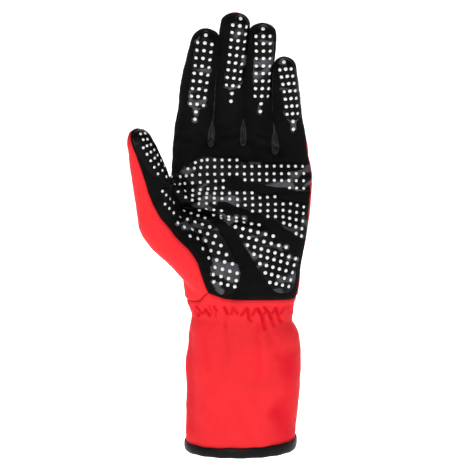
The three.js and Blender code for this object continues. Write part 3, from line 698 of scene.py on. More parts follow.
# Folds: each runs from one point to another, with its width and how deep it sinks
palmFolds = table(
    "x z toX toZ width sink",
    (-38, 176.6, -25.6, 173.8, 2.6, 3.6),
    (-25.6, 173.8, -13.7, 170.7, 2.5, 3.2),
    (-13.7, 170.7, 2.5, 168.0, 2.4, 2.4),
    (2.5, 168.0, 15, 165.0, 2.4, 1.3),
    (-44, 188, -38, 177, 4.5, 3.4),
    (14, 186, 48, 191, 2.4, 1.0),
    (-14.5, 226.5, -1, 228.5, 2.0, 1.4),
    (-42, 216, -24, 223.5, 3.6, 1.3),
    (-40, 224, -27, 229, 2.6, 0.9),
    (6, 223.3, 29, 214.0, 2.0, 1.3),
    (12, 228, 19, 225, 1.6, 0.9),
    (-6, 212, 12, 214, 5.0, 0.9),
    (-3, 113, 1, 150, 9.0, 2.0),
    (21, 126, 31, 151, 16, -2.6),
    (-15, 200, 36, 198, 7.5, -1.2),
    (-28, 244, -38, 243, 2.2, 0.35),
    (7, 249, 17, 249, 2.0, 0.3),
    (27, 240, 38, 239, 2.0, 0.35),
    (-15, 246, -4, 247, 2.0, 0.3),
)
backFolds = table(
    "x z toX toZ width sink",
    (-38, 232, -25, 233, 3.0, 0.9),
    (-14, 234, -2, 235, 3.0, 0.9),
    (8, 233, 18, 232, 3.0, 0.9),
    (27, 224, 38, 223, 3.0, 0.9),
    (-36, 262, -24, 263, 2.4, 0.6),
    (-12, 266, -2, 267, 2.4, 0.6),
    (8, 264, 18, 264, 2.4, 0.6),
    (26, 250, 36, 249, 2.4, 0.6),
    (-30, 214, -24, 200, 6.0, -0.9),
    (-8, 216, -6, 200, 6.0, -0.9),
    (12, 216, 11, 200, 6.0, -0.9),
    (33, 210, 29, 196, 6.0, -0.9),
    (-20, 128, 24, 124, 5.0, 0.8),
    (-28, 150, 0, 143, 6.0, 0.5),
)
# Long folds down the cuff: angle from the little finger's side, towards the back
cuffFolds = table(
    "angle width fromZ toZ sink",
    (292, 9, 26, 88, 0.8),
    (303, 7, 40, 92, -0.8),
    (322, 12, 4, 52, 1.1),
    (232, 11, 8, 78, 0.9),
    (204, 12, 6, 70, 1.1),
    (258, 14, 40, 88, -0.8),
    (120, 14, 10, 82, 1.6),
    (60, 12, 20, 88, 1.4),
    (90, 18, 10, 60, -0.9),
)
# Slanting folds on the cuff's palm side
cuffStrokes = table(
    "x z toX toZ width sink",
    (12.5, 94, 14, 58, 3.6, 0.6),
    (25, 32, 37, 16, 8.5, 1.1),
    (32, 70, 36, 46, 8.5, 0.8),
    (-37.5, 84, -38.5, 20, 4.6, 0.9),
    (-27, 88, -25, 66, 3.4, 0.5),
    (-11, 93, -9, 74, 3.0, 0.4),
    (20, 90, 24, 74, 3.0, 0.4),
    (-4, 40, 6, 18, 6.0, 0.4),
)
# The elastic at the wrist draws the cloth into small zigzag pleats. On the palm side they lie so:
gathers = table(
    "x z toX toZ width sink",
    (-31.7, 106.8, -28.9, 103.2, 1.2, 1.3),
    (-28.9, 103.2, -30.5, 100.0, 1.2, 1.2),
    (-32.8, 102.8, -30.8, 99.8, 1.1, 0.9),
    (-25.1, 105.4, -27.1, 102.7, 1.1, 1.2),
    (-25.1, 105.4, -22.6, 101.8, 1.2, 1.4),
    (-22.6, 108.4, -20.4, 102.8, 1.1, 0.6),
    (-19.2, 108.4, -17.6, 105.4, 1.2, 1.1),
    (-17.6, 105.0, -18.5, 101.2, 1.1, 0.5),
    (-11.9, 108.0, -9.8, 103.8, 1.2, 1.3),
    (-11.0, 103.2, -11.0, 95.5, 1.6, 0.35),
    (-6.0, 108.3, -7.2, 103.5, 1.0, 0.8),
    (-5.9, 108.2, -2.9, 104.2, 1.2, 1.0),
    (3.7, 108.0, 0.2, 103.0, 1.1, 1.2),
    (4.2, 107.6, 5.2, 100.2, 1.2, 1.4),
    (5.2, 100.2, 6.8, 99.0, 1.2, 0.9),
    (10.1, 107.4, 7.4, 102.8, 1.1, 1.0),
    (11.3, 107.0, 13.9, 103.0, 1.3, 1.6),
    (13.9, 103.0, 15.2, 98.6, 1.4, 1.6),
    (15.2, 98.6, 16.6, 93.6, 1.9, 0.9),
    (17.1, 105.4, 14.8, 102.2, 1.1, 1.1),
    (16.2, 107.8, 19.8, 103.0, 1.2, 1.4),
    (19.8, 103.0, 21.2, 99.2, 1.4, 1.5),
    (21.2, 99.2, 22.8, 94.8, 1.9, 0.8),
    (24.2, 106.4, 21.0, 102.2, 1.1, 1.1),
    (24.3, 106.4, 25.8, 101.6, 1.3, 1.5),
    (25.8, 101.6, 26.6, 98.4, 1.3, 1.3),
    (26.6, 98.4, 28.2, 96.6, 1.4, 0.8),
    (29.9, 106.2, 27.6, 102.7, 1.1, 0.9),
    (32.8, 107.0, 33.8, 102.5, 2.4, 0.5),
)
# and elsewhere they come from two crossing families, each with its slant, phase and share
elastic = {
    "families": ((1, 0.0, 0.75), (-1, 1.1, 0.55)),
    "z": 104.0,
    "above": 4.2,
    "below": 4.5,
    "longer": 7,
    "pleats": 38,
    "slant": 0.3,
    "depth": 1.9,
    "sharp": 0.5,
    "puff": 0.5,
    "onPalm": 0.85,  # how far the rows above take their place on the palm side
    "fineBelow": 13,
    "fineAbove": 7,
}
creaseTones = {"gathers": 0.36, "mostGathers": 0.45, "cuff": 0.24, "hand": 0.04}  # how dark the painted shade in a fold gets
unevenness = [(16, 3.0, 0.55), (5, 21.0, 0.22)]  # size, seed and height of the cloth's broad and small waves


def strokes(folds, x, z, joined=np.add):
    # the folds of a table at each point, with a low swelling beside each, added or joined in another way
    swelling, swellsAt = 0.28, 2.1
    total = 0 * x
    for fx, fz, tx, tz, width, sink in rowsOf(folds):
        wayX, wayZ = tx - fx, tz - fz
        t = np.clip(((x - fx) * wayX + (z - fz) * wayZ) / (wayX**2 + wayZ**2), 0, 1)
        off = np.hypot(x - fx - t * wayX, z - fz - t * wayZ) / width
        beside = swelling * np.exp(-((off - swellsAt) ** 2)) * (sink > 0)
        total = joined(total, sink * (np.exp(-off**2) - beside))
    return total


def pleats(angle, z, wander, length):
    # two crossing families of narrow valleys below the elastic's upper edge, some longer than others
    rise = z - elastic["z"]
    below = elastic["below"] + elastic["longer"] * np.clip(length + 0.35, 0, 1)
    fade = np.where(rise > 0, np.exp(-((rise / elastic["above"]) ** 4)), np.exp(-((rise / below) ** 2)))
    total = 0
    for slant, phase, share in elastic["families"]:
        turn = elastic["pleats"] * angle / 2 + slant * elastic["slant"] * rise + phase + 2.4 * wander
        lean = 1 + 0.9 * slant * np.clip(3 * length, -1, 1)  # one family rules here, the other there
        total = total + share * lean * (1 - np.abs(np.sin(turn)) ** elastic["sharp"])
    return elastic["depth"] * fade * (0.75 + 0.6 * wander) * total


def wanderAt(places, size, seed):
    offset = Vector((seed, 0, 0))
    return np.array([noise.noise(Vector(co) / size + offset) for co in places])


def addFolds(bm):
    # presses every fold into the form, which is twice as fine where the elastic gathers it, and gives each
    # point a painted shade value for its folds
    low = (elastic["z"] - elastic["fineBelow"]) * mm
    high = (elastic["z"] + elastic["fineAbove"]) * mm
    fine = [e for e in bm.edges if all(low < v.co.z < high for v in e.verts)]
    bmesh.ops.subdivide_edges(bm, edges=fine, cuts=1, use_grid_fill=True)
    bm.verts.index_update()
    places, normals = placesOf(bm), normalsOf(bm)
    x, y, z = places.T
    ahead = middleY(z) - y  # towards the palm
    angle = np.arctan2(y, x)
    facing = np.clip(-2 * normals[:, 1], 0, 1) * (ahead > 0)
    behind = np.clip(2 * normals[:, 1], 0, 1) * (ahead < 0)
    onHand = ramp(z, 108, 118)
    sink = strokes(palmFolds, x, z) * facing * onHand + strokes(backFolds, x, z) * behind * onHand
    degrees = np.degrees(angle) % 360
    for turn, width, fromZ, toZ, deep in rowsOf(cuffFolds):
        lengthwise = np.exp(-(((z - (fromZ + toZ) / 2) / ((toZ - fromZ) / 2)) ** 4))
        off = (degrees - turn + 180) % 360 - 180
        sink = sink + deep * np.exp(-((off / width) ** 2)) * lengthwise
    upright = np.stack([x, y, 0.3 * z], axis=1)
    gathered = pleats(angle, z, wanderAt(upright, 13, 9.0), wanderAt(upright, 19, 31.0))
    palmSide = ramp(-y, 2, 9)
    gathered = gathered * (1 - elastic["onPalm"] * palmSide) + strokes(gathers, x, z, np.maximum) * palmSide
    broad = strokes(cuffStrokes, x, z) * palmSide
    sink = sink + broad
    # painted shade for the red cloth: darker in the pleats, in the cuff's broad folds and in every fold that
    # sinks in
    crease = bm.verts.layers.float.new("crease")
    shade = np.clip(creaseTones["gathers"] * gathered, 0, creaseTones["mostGathers"])
    shade = shade + creaseTones["cuff"] * np.clip(broad, 0, 3) + creaseTones["hand"] * np.clip(sink, -1, 3)
    for vert, value in zip(bm.verts, shade):
        vert[crease] = value
    sink = sink + gathered - elastic["puff"] * np.exp(-(((z - elastic["z"]) / 4) ** 2))
    aboveHem = ramp(z, 2, 14)
    for size, seed, height in unevenness:
        sink = sink + height * wanderAt(places, size, seed) * aboveHem
    movePlaces(bm, places - normals * sink[:, None])


# Seams, as fields that are zero along the seam

seams = {
    "cuff": table("x z", (-150, 109.2), (-38, 109.4), (-32.5, 110.2), (-29.2, 111.4), (-26.5, 114.8),
                  (-23.4, 117.8), (-21, 117), (-17.4, 115.8), (-11.7, 114.1), (-6, 113.6),
                  (10, 113.2), (25, 112.3), (36, 111.2), (150, 110.6)),
    "sideForward": table("z y", (0, 4.8), (137, 4.8), (173, 4.2), (202, 1.6), (220, -1.0), (255, -1.8),
                         (285, -3.4), (300, -3.6), (314, -4.1)),
    "thumbSide": {"back": 4.5, "x": (22, 34), "from": (150, 175), "to": (226, 246)},
    "sliver": {"x": 47, "z": 216.5, "reach": 4.4, "forward": 3.4},
    "fourchetteHalf": 3.2,
    "fourchetteReach": 7,
    "fourchettePoint": 18,
    "tongueNarrows": (8, 19),
    "tongueDrop": -0.6,
    "groove": 0.62,
    "grooveWidth": 1.25,
    "grooveReach": 3.5,
    "puff": 0.22,
    "atFingers": 0.4,  # shallower where the fingers touch
    # the band beside a seam that carries painted shade on the red cloth, and where it ends
    "rimWidth": 0.8,
    "rimEnds": (12, 24),  # above the crotch the rim is hidden between the fingers
    "edgeTuck": 0.03,
}


# the numbers that faces carry for their panels; the three strips between the fingers follow each other
labels = {"palm": 0, "back": 1, "thumb": 2, "strips": 3, "cuff": 6}


def cuffField(places):
    return np.interp(places[:, 0], seams["cuff"]["x"], seams["cuff"]["z"]) - places[:, 2]


def sideField(places):
    # the red back shows a little more beside the little finger's root
    x, y, z = places.T
    sliver = seams["sliver"]
    near = np.exp(-((x - sliver["x"]) ** 2 + (z - sliver["z"]) ** 2) / sliver["reach"] ** 2)
    side = seams["thumbSide"]  # here the suede reaches further back
    back = side["back"] * ramp(-x, *side["x"]) * ramp(z, *side["from"]) * (1 - ramp(z, *side["to"]))
    forward = readTable(seams["sideForward"], "z", "y", z) + sliver["forward"] * near - back
    return middleY(z) - forward - y


def thumbField(places):
    x, y, z = places.T
    turn = math.radians(thumb["seamTurn"])
    rows = thumb["rows"]
    centre = {key: readTable(rows, "z", key, z) for key in ("x", "y", "width")}
    across = (x - centre["x"]) * math.cos(turn) + (y - centre["y"]) * math.sin(turn)
    front = readTable(thumb["seam"], "z", "share", z) * centre["width"] / 2 - across
    side = readTable(thumb["edge"], "z", "x", z) - x
    return np.minimum(front, side)


def fourchetteField(gap):
    def field(places):
        x, y, z = places.T
        off = x - divider(gap, z)
        ends = [body["crotchZ"] + fingers[name]["rows"]["up"][-1] - 0.9 * fingers[name]["tip"]
                for name in (gap["first"], gap["second"])]
        end = np.where(off < 0, ends[0], ends[1])
        half = seams["fourchetteHalf"] * np.clip((end - z) / seams["fourchettePoint"], -1, 1)
        reach = seams["fourchetteReach"]
        side = np.minimum.reduce([half - np.abs(y - middleY(z)), reach - np.abs(off), z - gap["crotchZ"] + 2])
        # on the palm side it shows as a narrow tongue with a round end
        narrowFrom, narrowTo = seams["tongueNarrows"]
        tongue = gap["tongue"] * (1 - ramp(z, gap["crotchZ"] + narrowFrom, gap["crotchZ"] + narrowTo))
        below = np.clip(gap["crotchZ"] + seams["tongueDrop"] + gap["tongue"] - z, 0, None)
        front = np.minimum(tongue - np.hypot(off, below), middleY(z) - y)
        return np.maximum(side, front)
    return field


def cutPanels(bm):
    # labels every face with the panel that it belongs to, and returns the seams' points
    def onHand(p):
        return cuffField(p) < 0.5

    cutAlong(bm, cuffField)
    cutAlong(bm, thumbField, lambda p: onHand(p) & (thumbField(p) > -6))
    cutAlong(bm, sideField, lambda p: onHand(p) & (thumbField(p) < 0.5) & (np.abs(sideField(p)) < 5))
    for gap in gaps:
        field = fourchetteField(gap)
        cutAlong(bm, field, lambda p: (p[:, 2] > gap["crotchZ"] - 8) & (np.abs(field(p)) < 5))
    centres = np.array([f.calc_center_median() for f in bm.faces]) / mm
    label = np.where(sideField(centres) > 0, labels["palm"], labels["back"])
    for number, gap in enumerate(gaps):
        label[fourchetteField(gap)(centres) > 0] = labels["strips"] + number
    label[thumbField(centres) > 0] = labels["thumb"]
    label[cuffField(centres) > 0] = labels["cuff"]
    for face, value in zip(bm.faces, label):
        face.material_index = int(value)
    tidyIslands(bm)
    return [v for v in bm.verts if len({f.material_index for f in v.link_faces}) > 1]


def tidyIslands(bm, least=120):
    # a crumb of a panel goes to the panel that surrounds it
    seen = set()
    for start in bm.faces:
        if start in seen:
            continue
        island, waiting, beside = {start}, [start], {}
        while waiting:
            for edge in waiting.pop().edges:
                for other in edge.link_faces:
                    if other in island:
                        continue
                    if other.material_index == start.material_index:
                        island.add(other)
                        waiting.append(other)
                    else:
                        beside[other.material_index] = beside.get(other.material_index, 0) + 1
        seen |= island
        if len(island) < least and beside:
            winner = max(beside, key=beside.get)
            for face in island:
                face.material_index = winner


def treeOf(points):
    tree = KDTree(len(points))
    for number, point in enumerate(points):
        tree.insert(point, number)
    tree.balance()
    return tree


def sinkSeams(bm, line):
    # a groove along every seam, with the cloth puffed up beside it, and a value along the seam that paints
    # shade on the red cloth
    tree = treeOf([v.co for v in line])
    bm.normal_update()
    width = seams["grooveWidth"] * mm
    edge = bm.verts.layers.float.new("edge")  # 1 at a seam: painted shade darkens the red cloth there; the stretch cloth shows its own lighter tone there and is painted dark with shade away from it
    moves = []
    rimFrom, rimTo = (body["crotchZ"] + up for up in seams["rimEnds"])
    for vert in bm.verts:
        away = tree.find(vert.co)[2]
        hidden = float(ramp(vert.co.z / mm, rimFrom, rimTo))
        vert[edge] = math.exp(-((away / (seams["rimWidth"] * mm)) ** 2)) * (1 - hidden)
        if away < seams["grooveReach"] * width:
            puff = seams["puff"] * math.exp(-(((away - 2.1 * width) / width) ** 2))
            share = seams["atFingers"] if vert.co.z > body["crotchZ"] * mm else 1
            down = share * (math.exp(-((away / width) ** 2)) - puff)
            moves.append((vert, vert.normal * -down * seams["groove"] * mm))
    moveBy(moves)


def onlyPanel(bm, label):
    # a copy of the form with the faces of one label
    part = bm.copy()
    bmesh.ops.delete(part, geom=[f for f in part.faces if f.material_index != label], context="FACES")
    for face in part.faces:
        face.material_index = 0
    return part


def panelFrom(bm, label, name, material, thickness, node, slot):
    # one panel with its wall inwards, a hair short of its neighbours
    part = onlyPanel(bm, label)
    part.normal_update()
    hem, tuck = body["hemZ"] * mm, seams["edgeTuck"] * mm
    moves = []
    for vert in part.verts:
        if vert.is_boundary and abs(vert.co.z - hem) > 0.05 * mm:
            inner = [e.other_vert(vert).co for e in vert.link_edges if not e.other_vert(vert).is_boundary]
            if inner:
                way = sum(inner, Vector()) / len(inner) - vert.co
                moves.append((vert, (way.normalized() - vert.normal) * tuck))
    moveBy(moves)
    ob = meshObject(name, part, material)
    addWall(ob, thickness, -1)
    return handOver(ob, node)


# The grip print: bands on the palm and strips up the fingers, drawn in the palm's plane

palmBands = [
    table("x z half", (-46, 192.3, 3.5), (-38, 198.8, 6.8), (-27.7, 203.5, 9.7), (-17.3, 205.3, 8.3),
          (-7.4, 206.4, 6.3), (3, 203.5, 6.6), (15.8, 201.1, 8), (31.2, 199.9, 9.3), (45.5, 198.2, 9.8)),
    table("x z half", (-34.6, 184.6, 2.8), (-24.8, 188.1, 7.1), (-10.9, 186.3, 5), (0, 183.4, 6.3),
          (14.4, 179.9, 7.3), (26.7, 175.4, 8), (36.6, 170.8, 10.1), (44.6, 168.1, 11.2)),
    table("x z half", (-24.8, 174.2, 2.1), (-12.4, 171.1, 2.6), (0, 163.1, 5.5), (10.9, 153.3, 9),
          (19.3, 142.8, 11), (26.2, 132.3, 11), (28.4, 126.5, 9.2)),
    table("x z half", (-53, 188.1, 3.5), (-46.5, 178.7, 4.2), (-38.1, 170.4, 5.5), (-28.2, 162.4, 8.3),
          (-19.8, 152.7, 8.7), (-14.4, 142.7, 9.4), (-11.2, 132.3, 10), (-11.0, 125.2, 9.4)),
    table("x z half", (-45, 195.2, 3.5), (-39.1, 184.6, 4.7), (-29.7, 178.7, 5.9), (-21.8, 172.8, 5.3)),
]
stripShape = table("at half", (0, 2.1), (0.13, 2.4), (0.22, 5.8), (0.3, 6.9), (0.5, 7), (0.55, 5.8), (0.6, 7),
                   (0.86, 6.6), (0.95, 5), (1, 2.4))
# Each finger's middle column of dots, from the top one to the bottom one, with its number of rows; the outer
# columns start one row lower and end two rows higher
strips = {
    "index": {"top": (-25.0, 298.1), "bend": (-28.6, 268.4), "bottom": (-32.6, 239.2), "rows": 12,
              "left": (-5.1, 0.4), "right": (5.0, -1.0)},
    "middle": {"top": (-0.6, 309.7), "bend": (-3.8, 281.2), "bottom": (-7.35, 251.9), "rows": 12,
               "left": (-5.0, 0.6), "right": (4.7, -0.7)},
    "ring": {"top": (15.1, 302.5), "bend": (15.2, 273.9), "bottom": (13.2, 244.7), "rows": 12,
             "left": (-5.2, 0), "right": (4.8, 0)},
    "little": {"top": (29.7, 279.3), "bend": (34.3, 256.4), "bottom": (36.4, 232.3), "rows": 10,
               "left": (-4.2, -0.5), "right": (3.9, 0.2)},
}
thumbStrip = {"top": (-71.5, 229.0), "bend": (-63.5, 213.5), "bottom": (-53.5, 196.5)}
# Rows of dots on the palm and thumb: corner points of a row, with the number of steps between them
dotRows = {
    "palm": [
        [(-32.3, 208.9), 1, (-27.9, 210.4), 1, (-24.0, 210.9), 4, (-3.2, 210.7)],
        [(-37.5, 204.6), 3, (-24.0, 205.9), 9, (22.9, 206.5), 4, (42.8, 206.3)],
        [(-42.9, 199.1), 2, (-34.5, 200.2), 2, (-24.0, 200.8), 13, (43.6, 201.3)],
        [(-46.8, 193.4), 2, (-39.7, 194.3), 5, (-12.8, 196.4)],
        [(2.4, 196.9), 8, (43.5, 196.2)],
        [(-44.4, 188.5), 1, (-39.5, 189.1), 5, (-12.8, 191.4)],
        [(33.7, 191.3), 2, (43.5, 191.0)],
        [(-39.1, 184.7), 2, (-29.5, 187.3), 7, (7.4, 187.7)],
        [(-34.5, 182.7), 2, (-24.5, 184.3), 4, (-2.8, 183.2), 5, (23.4, 185.1)],
        [(-29.9, 180.2), 2, (-19.0, 180.7)],
        [(-2.6, 179.0), 7, (34.4, 180.1), 2, (43.6, 177.9)],
        [(-29.5, 175.7), 1, (-24.7, 176.4), 2, (-14.0, 175.2)],
        [(7.7, 175.0), 4, (29.1, 175.6), 3, (43.3, 173.3)],
        [(-19.6, 172.4), 4, (1.7, 169.7)],
        [(18.5, 171.3), 2, (29.1, 171.0), 3, (42.9, 168.0)],
        [(29.6, 166.7), 3, (42.3, 162.7)],
        [(38.3, 159.3), 1, (42.0, 157.6)],
        [(-14.2, 170.0), 5, (12.3, 165.2)],
        [(-4.3, 163.9), 5, (22.2, 157.5)],
        [(0.0, 157.5), 6, (31.3, 149.7)],
        [(4.2, 151.2), 7, (38.0, 141.7)],
        [(8.7, 144.8), 6, (36.8, 137.2)],
        [(12.9, 138.2), 5, (35.7, 132.0)],
        [(16.7, 131.8), 4, (34.5, 126.8)],
        [(19.9, 125.1), 3, (33.1, 122.2)],
        [(-40.2, 175.2), 3, (-25.5, 170.2)],
        [(-53.5, 179.9), 2, (-47.4, 173.8), 1, (-43.0, 170.9), 4, (-22.2, 163.9)],
        [(-44.5, 166.8), 1, (-39.9, 163.9), 4, (-18.3, 157.5)],
        [(-35.9, 157.5), 4, (-14.4, 150.9)],
        [(-27.0, 148.7), 3, (-10.5, 144.5)],
        [(-22.9, 142.2), 3, (-6.3, 138.0)],
        [(-18.5, 135.7), 3, (-3.0, 131.5)],
        [(-19.7, 130.6), 3, (-3.7, 126.4)],
        [(-19.3, 125.4), 3, (-4.7, 122.1)],
        [(-55.3, 188.9), 3, (-47.4, 180.9)],
    ],
    "thumb": [
        [(-70.6, 229.0), 1, (-67.4, 229.4)],
        [(-68.7, 219.3), 4, (-58.4, 201.1)],
        [(-68.8, 225.0), 6, (-52.6, 199.1)],
        [(-65.8, 225.3), 7, (-49.2, 199.2)],
    ],
}
gripPrint = {"rise": 0.4, "edge": 0.9, "under": 0.5, "sunk": 0.06, "margin": 2.5, "longer": 0.72}
dots = {"radius": 1.31, "rise": 0.55, "sunk": 0.04}
# sizes on the heel of the hand, across the knuckles, on the thumb and in a strip's outer columns
dotSizes = {"heel": 1.0, "knuckles": 0.86, "thumb": 0.78, "outer": 0.94, "least": 0.86, "columnsClose": 0.12}


def bandField(bands, spots):
    # above zero inside the bands, which swell and narrow along their length, and close round every dot
    points = [np.array([(*spot, gripPrint["margin"]) for spot, size in spots])]
    for band in bands:
        at = np.arange(len(band["x"]), dtype=float)
        fine = np.linspace(0, at[-1], 24 * len(at))
        rows = dict(band, at=at)
        points.append(np.stack([readTable(rows, "at", key, fine) for key in ("x", "z", "half")], axis=1))
    points = np.concatenate(points)

    def field(places):
        x, z = places[:, 0], places[:, 2]
        best = np.full(len(x), -1e3)
        for px, pz, half in points:
            best = np.maximum(best, half - np.hypot(x - px, z - pz))
        return best
    return field


def stripLine(strip, at):
    # a smooth line through a strip's top, bend and bottom, with at from 0 at the top to 1
    ends = [np.array(strip[key]) for key in ("top", "bend", "bottom")]
    middle = 2 * ends[1] - (ends[0] + ends[2]) / 2
    at = np.asarray(at, float)[..., None]
    return (1 - at) ** 2 * ends[0] + 2 * at * (1 - at) * middle + at**2 * ends[2]


def stripBand(strip):
    # a strip's band, from a little below its lowest dot to a little above its top one
    along = np.array(strip["top"]) - np.array(strip["bottom"])
    longer = along / np.linalg.norm(along) * gripPrint["longer"]
    at = np.linspace(1, 0, 26)
    line = stripLine(strip, at)
    line[0] -= longer
    line[-1] += longer
    return {"x": line[:, 0], "z": line[:, 1], "half": readTable(stripShape, "at", "half", 1 - at)}


def pictureAxes():
    # the print and its dots are placed as the camera sees them, in a plane through its aim
    lift = math.radians(view["elevation"])
    up = np.array([0, math.sin(lift), math.cos(lift)])
    ahead = np.array([0, math.cos(lift), -math.sin(lift)])
    aim = np.array(view["aim"], float)
    return aim, aim - ahead * view["distance"], up, ahead


def rayThrough(x, z):
    aim, eye, up, ahead = pictureAxes()
    centreX, centreZ = view["pictureCentre"]
    point = aim + np.array([x - centreX, 0, 0]) + up * (z - centreZ)
    return Vector(eye) * mm, Vector(point - eye).normalized()


def asSeen(places):
    # where points of the skin fall in that plane
    aim, eye, up, ahead = pictureAxes()
    way = places - eye
    way = way * (view["distance"] / (way @ ahead))[:, None]
    point = eye + way - aim
    centreX, centreZ = view["pictureCentre"]
    return np.stack([point[:, 0] + centreX, 0 * way[:, 0], point @ up + centreZ], axis=1)


def printFrom(skin, keep, field, name, material, node):
    # the part of the skin inside the field, lifted off it with a rounded edge
    part = skin.copy()
    far = [f for f in part.faces if not keep(f.calc_center_median() / mm)]
    bmesh.ops.delete(part, geom=far, context="FACES")
    cutAlong(part, field)
    centres = np.array([f.calc_center_median() for f in part.faces]) / mm
    outside = [f for f, value in zip(part.faces, field(centres)) if value < 0]
    bmesh.ops.delete(part, geom=outside, context="FACES")
    part.normal_update()
    tree = treeOf([v.co.copy() for v in part.verts if v.is_boundary])
    moves = []
    for vert in part.verts:
        share = min(tree.find(vert.co)[2] / (gripPrint["edge"] * mm), 1)
        lift = gripPrint["rise"] * math.sin(share * math.pi / 2) - gripPrint["sunk"]
        moves.append((vert, vert.normal * lift * mm))
    moveBy(moves)
    ob = meshObject(name, part, material)
    addWall(ob, gripPrint["under"], -1)
    return handOver(ob, node)


def dome(bm):
    # a low round drop, closed underneath
    bmesh.ops.create_uvsphere(bm, u_segments=12, v_segments=8, radius=1)
    keepAbove(bm, -0.05, 0.001)
    fillHoles(bm)
    radius = dots["radius"] * mm
    bmesh.ops.scale(bm, vec=(radius, radius, dots["rise"] * mm), verts=bm.verts)


def dotSize(x, z):
    # smaller across the knuckles and on the thumb than on the heel of the hand
    knuckles, heel = dotSizes["knuckles"], dotSizes["heel"]
    if x < -50 and z > 176:
        return dotSizes["thumb"]
    return knuckles + (heel - knuckles) * float(ramp(z, 176, 160))


def rowPoints(row):
    # the dots of a row, at even steps between its named points
    points = [row[0]]
    for number in range(1, len(row), 2):
        start, steps, end = row[number - 1], row[number], row[number + 1]
        for step in range(1, steps + 1):
            share = step / steps
            points.append(tuple(a + (b - a) * share for a, b in zip(start, end)))
    return points


def stripPoints(strip):
    # three columns of dots, of which the outer ones draw together towards the bottom
    rows = strip["rows"]
    middle = stripLine(strip, np.linspace(0, 1, rows))
    points = [(tuple(p), 1.0) for p in middle]
    for side in ("left", "right"):
        for number in range(1, rows - 2):
            offset = np.array(strip[side]) * (1 - dotSizes["columnsClose"] * number / rows)
            size = dotSizes["least" if number in (4, rows - 3) else "outer"]
            points.append((tuple(middle[number] + offset), size))
    return points


def placeDots(trees, points, name, material):
    # each dot lies where the camera's ray through its chart point meets the glove
    spots, turns = [], []
    for (x, z), size in points:
        eye, way = rayThrough(x, z)
        hits = [tree.ray_cast(eye, way) for tree in trees]
        hits = [hit for hit in hits if hit[0] is not None]
        if not hits:
            continue
        spot, normal = min(hits, key=lambda hit: hit[3])[:2]
        spots.append(spot - normal * dots["sunk"] * mm)
        turn = normal.to_track_quat("Z", "Y").to_matrix().to_4x4()
        turns.append(turn @ Matrix.Diagonal((size, size, size, 1)))
    handOver(joinedObject(name, dome, spots, material, turns))
    print(name, len(spots), "of", len(points))


# Stitches

stitch = {"length": 2.5, "gap": 0.75, "thick": 0.34, "inset": 1.9, "clear": 0.02}


def stitchShape(bm):
    bmesh.ops.create_uvsphere(bm, u_segments=6, v_segments=5, radius=0.5)
    bmesh.ops.rotate(bm, cent=(0, 0, 0), matrix=Matrix.Rotation(math.pi / 2, 3, "Y"), verts=bm.verts)
    bmesh.ops.scale(bm, vec=(stitch["length"] * mm, stitch["thick"] * 1.25 * mm, stitch["thick"] * mm),
                    verts=bm.verts)


def borderRuns(bm, label, neighbours):
    # ordered runs of points along the seam between a panel and its neighbours
    seam = []
    for edge in bm.edges:
        sides = {f.material_index for f in edge.link_faces}
        if label in sides and sides & set(neighbours):
            seam.append(edge)
    left = set(seam)
    runs = []
    for edge in seam:
        if edge not in left:
            continue
        left.remove(edge)
        run = list(edge.verts)
        for forward in (True, False):
            while True:
                tip = run[-1] if forward else run[0]
                following = next((e for e in tip.link_edges if e in left), None)
                if following is None:
                    break
                left.remove(following)
                other = following.other_vert(tip)
                run = run + [other] if forward else [other] + run
        runs.append([v.co.copy() for v in run])
    return [run for run in runs if len(run) > 12]


def evenly(run, pitch):
    # the same line at even steps, smoothed a little first
    points = np.array(run)
    for step in range(3):
        points[1:-1] = (points[:-2] + 2 * points[1:-1] + points[2:]) / 4
    lengths = np.concatenate([[0], np.cumsum(np.linalg.norm(np.diff(points, axis=0), axis=1))])
    at = np.arange(pitch / 2, lengths[-1], pitch)
    return [Vector(p) for p in np.stack([np.interp(at, lengths, points[:, k]) for k in range(3)], axis=1)]


def stitchAlong(runs, tree, towards, name, material, inset):
    # a row of stitches beside a seam, on the side that towards says
    spots, turns = [], []
    pitch = (stitch["length"] + stitch["gap"]) * mm
    for run in runs:
        line = evenly(run, pitch)
        for before, here, after in zip(line, line[1:], line[2:]):
            way = (after - before).normalized()
            normal = tree.find_nearest(here)[1]
            side = normal.cross(way).normalized()
            if towards(here + side * inset * mm) < towards(here - side * inset * mm):
                side = -side
            spot, normal = tree.find_nearest(here + side * inset * mm)[:2]
            along = (way - normal * way.dot(normal)).normalized()
            across = normal.cross(along)
            spots.append(spot + normal * stitch["clear"] * mm)
            turns.append(Matrix((along, across, normal)).transposed().to_4x4())
    handOver(joinedObject(name, stitchShape, spots, material, turns))
    print(name, len(spots), "stitches")


# The binding folded over the hem. It rises a little towards the little finger's side, and grows wider there

binding = {"height": 7.2, "wider": 0.8, "tape": 0.75, "clear": 0.15, "cloth": 1.2, "bottom": 0.3, "puff": 0.5,
           "leg": 0.42, "halfWidth": 39, "tilt": 0.012, "longWaves": 0.25, "shortWaves": 0.15}


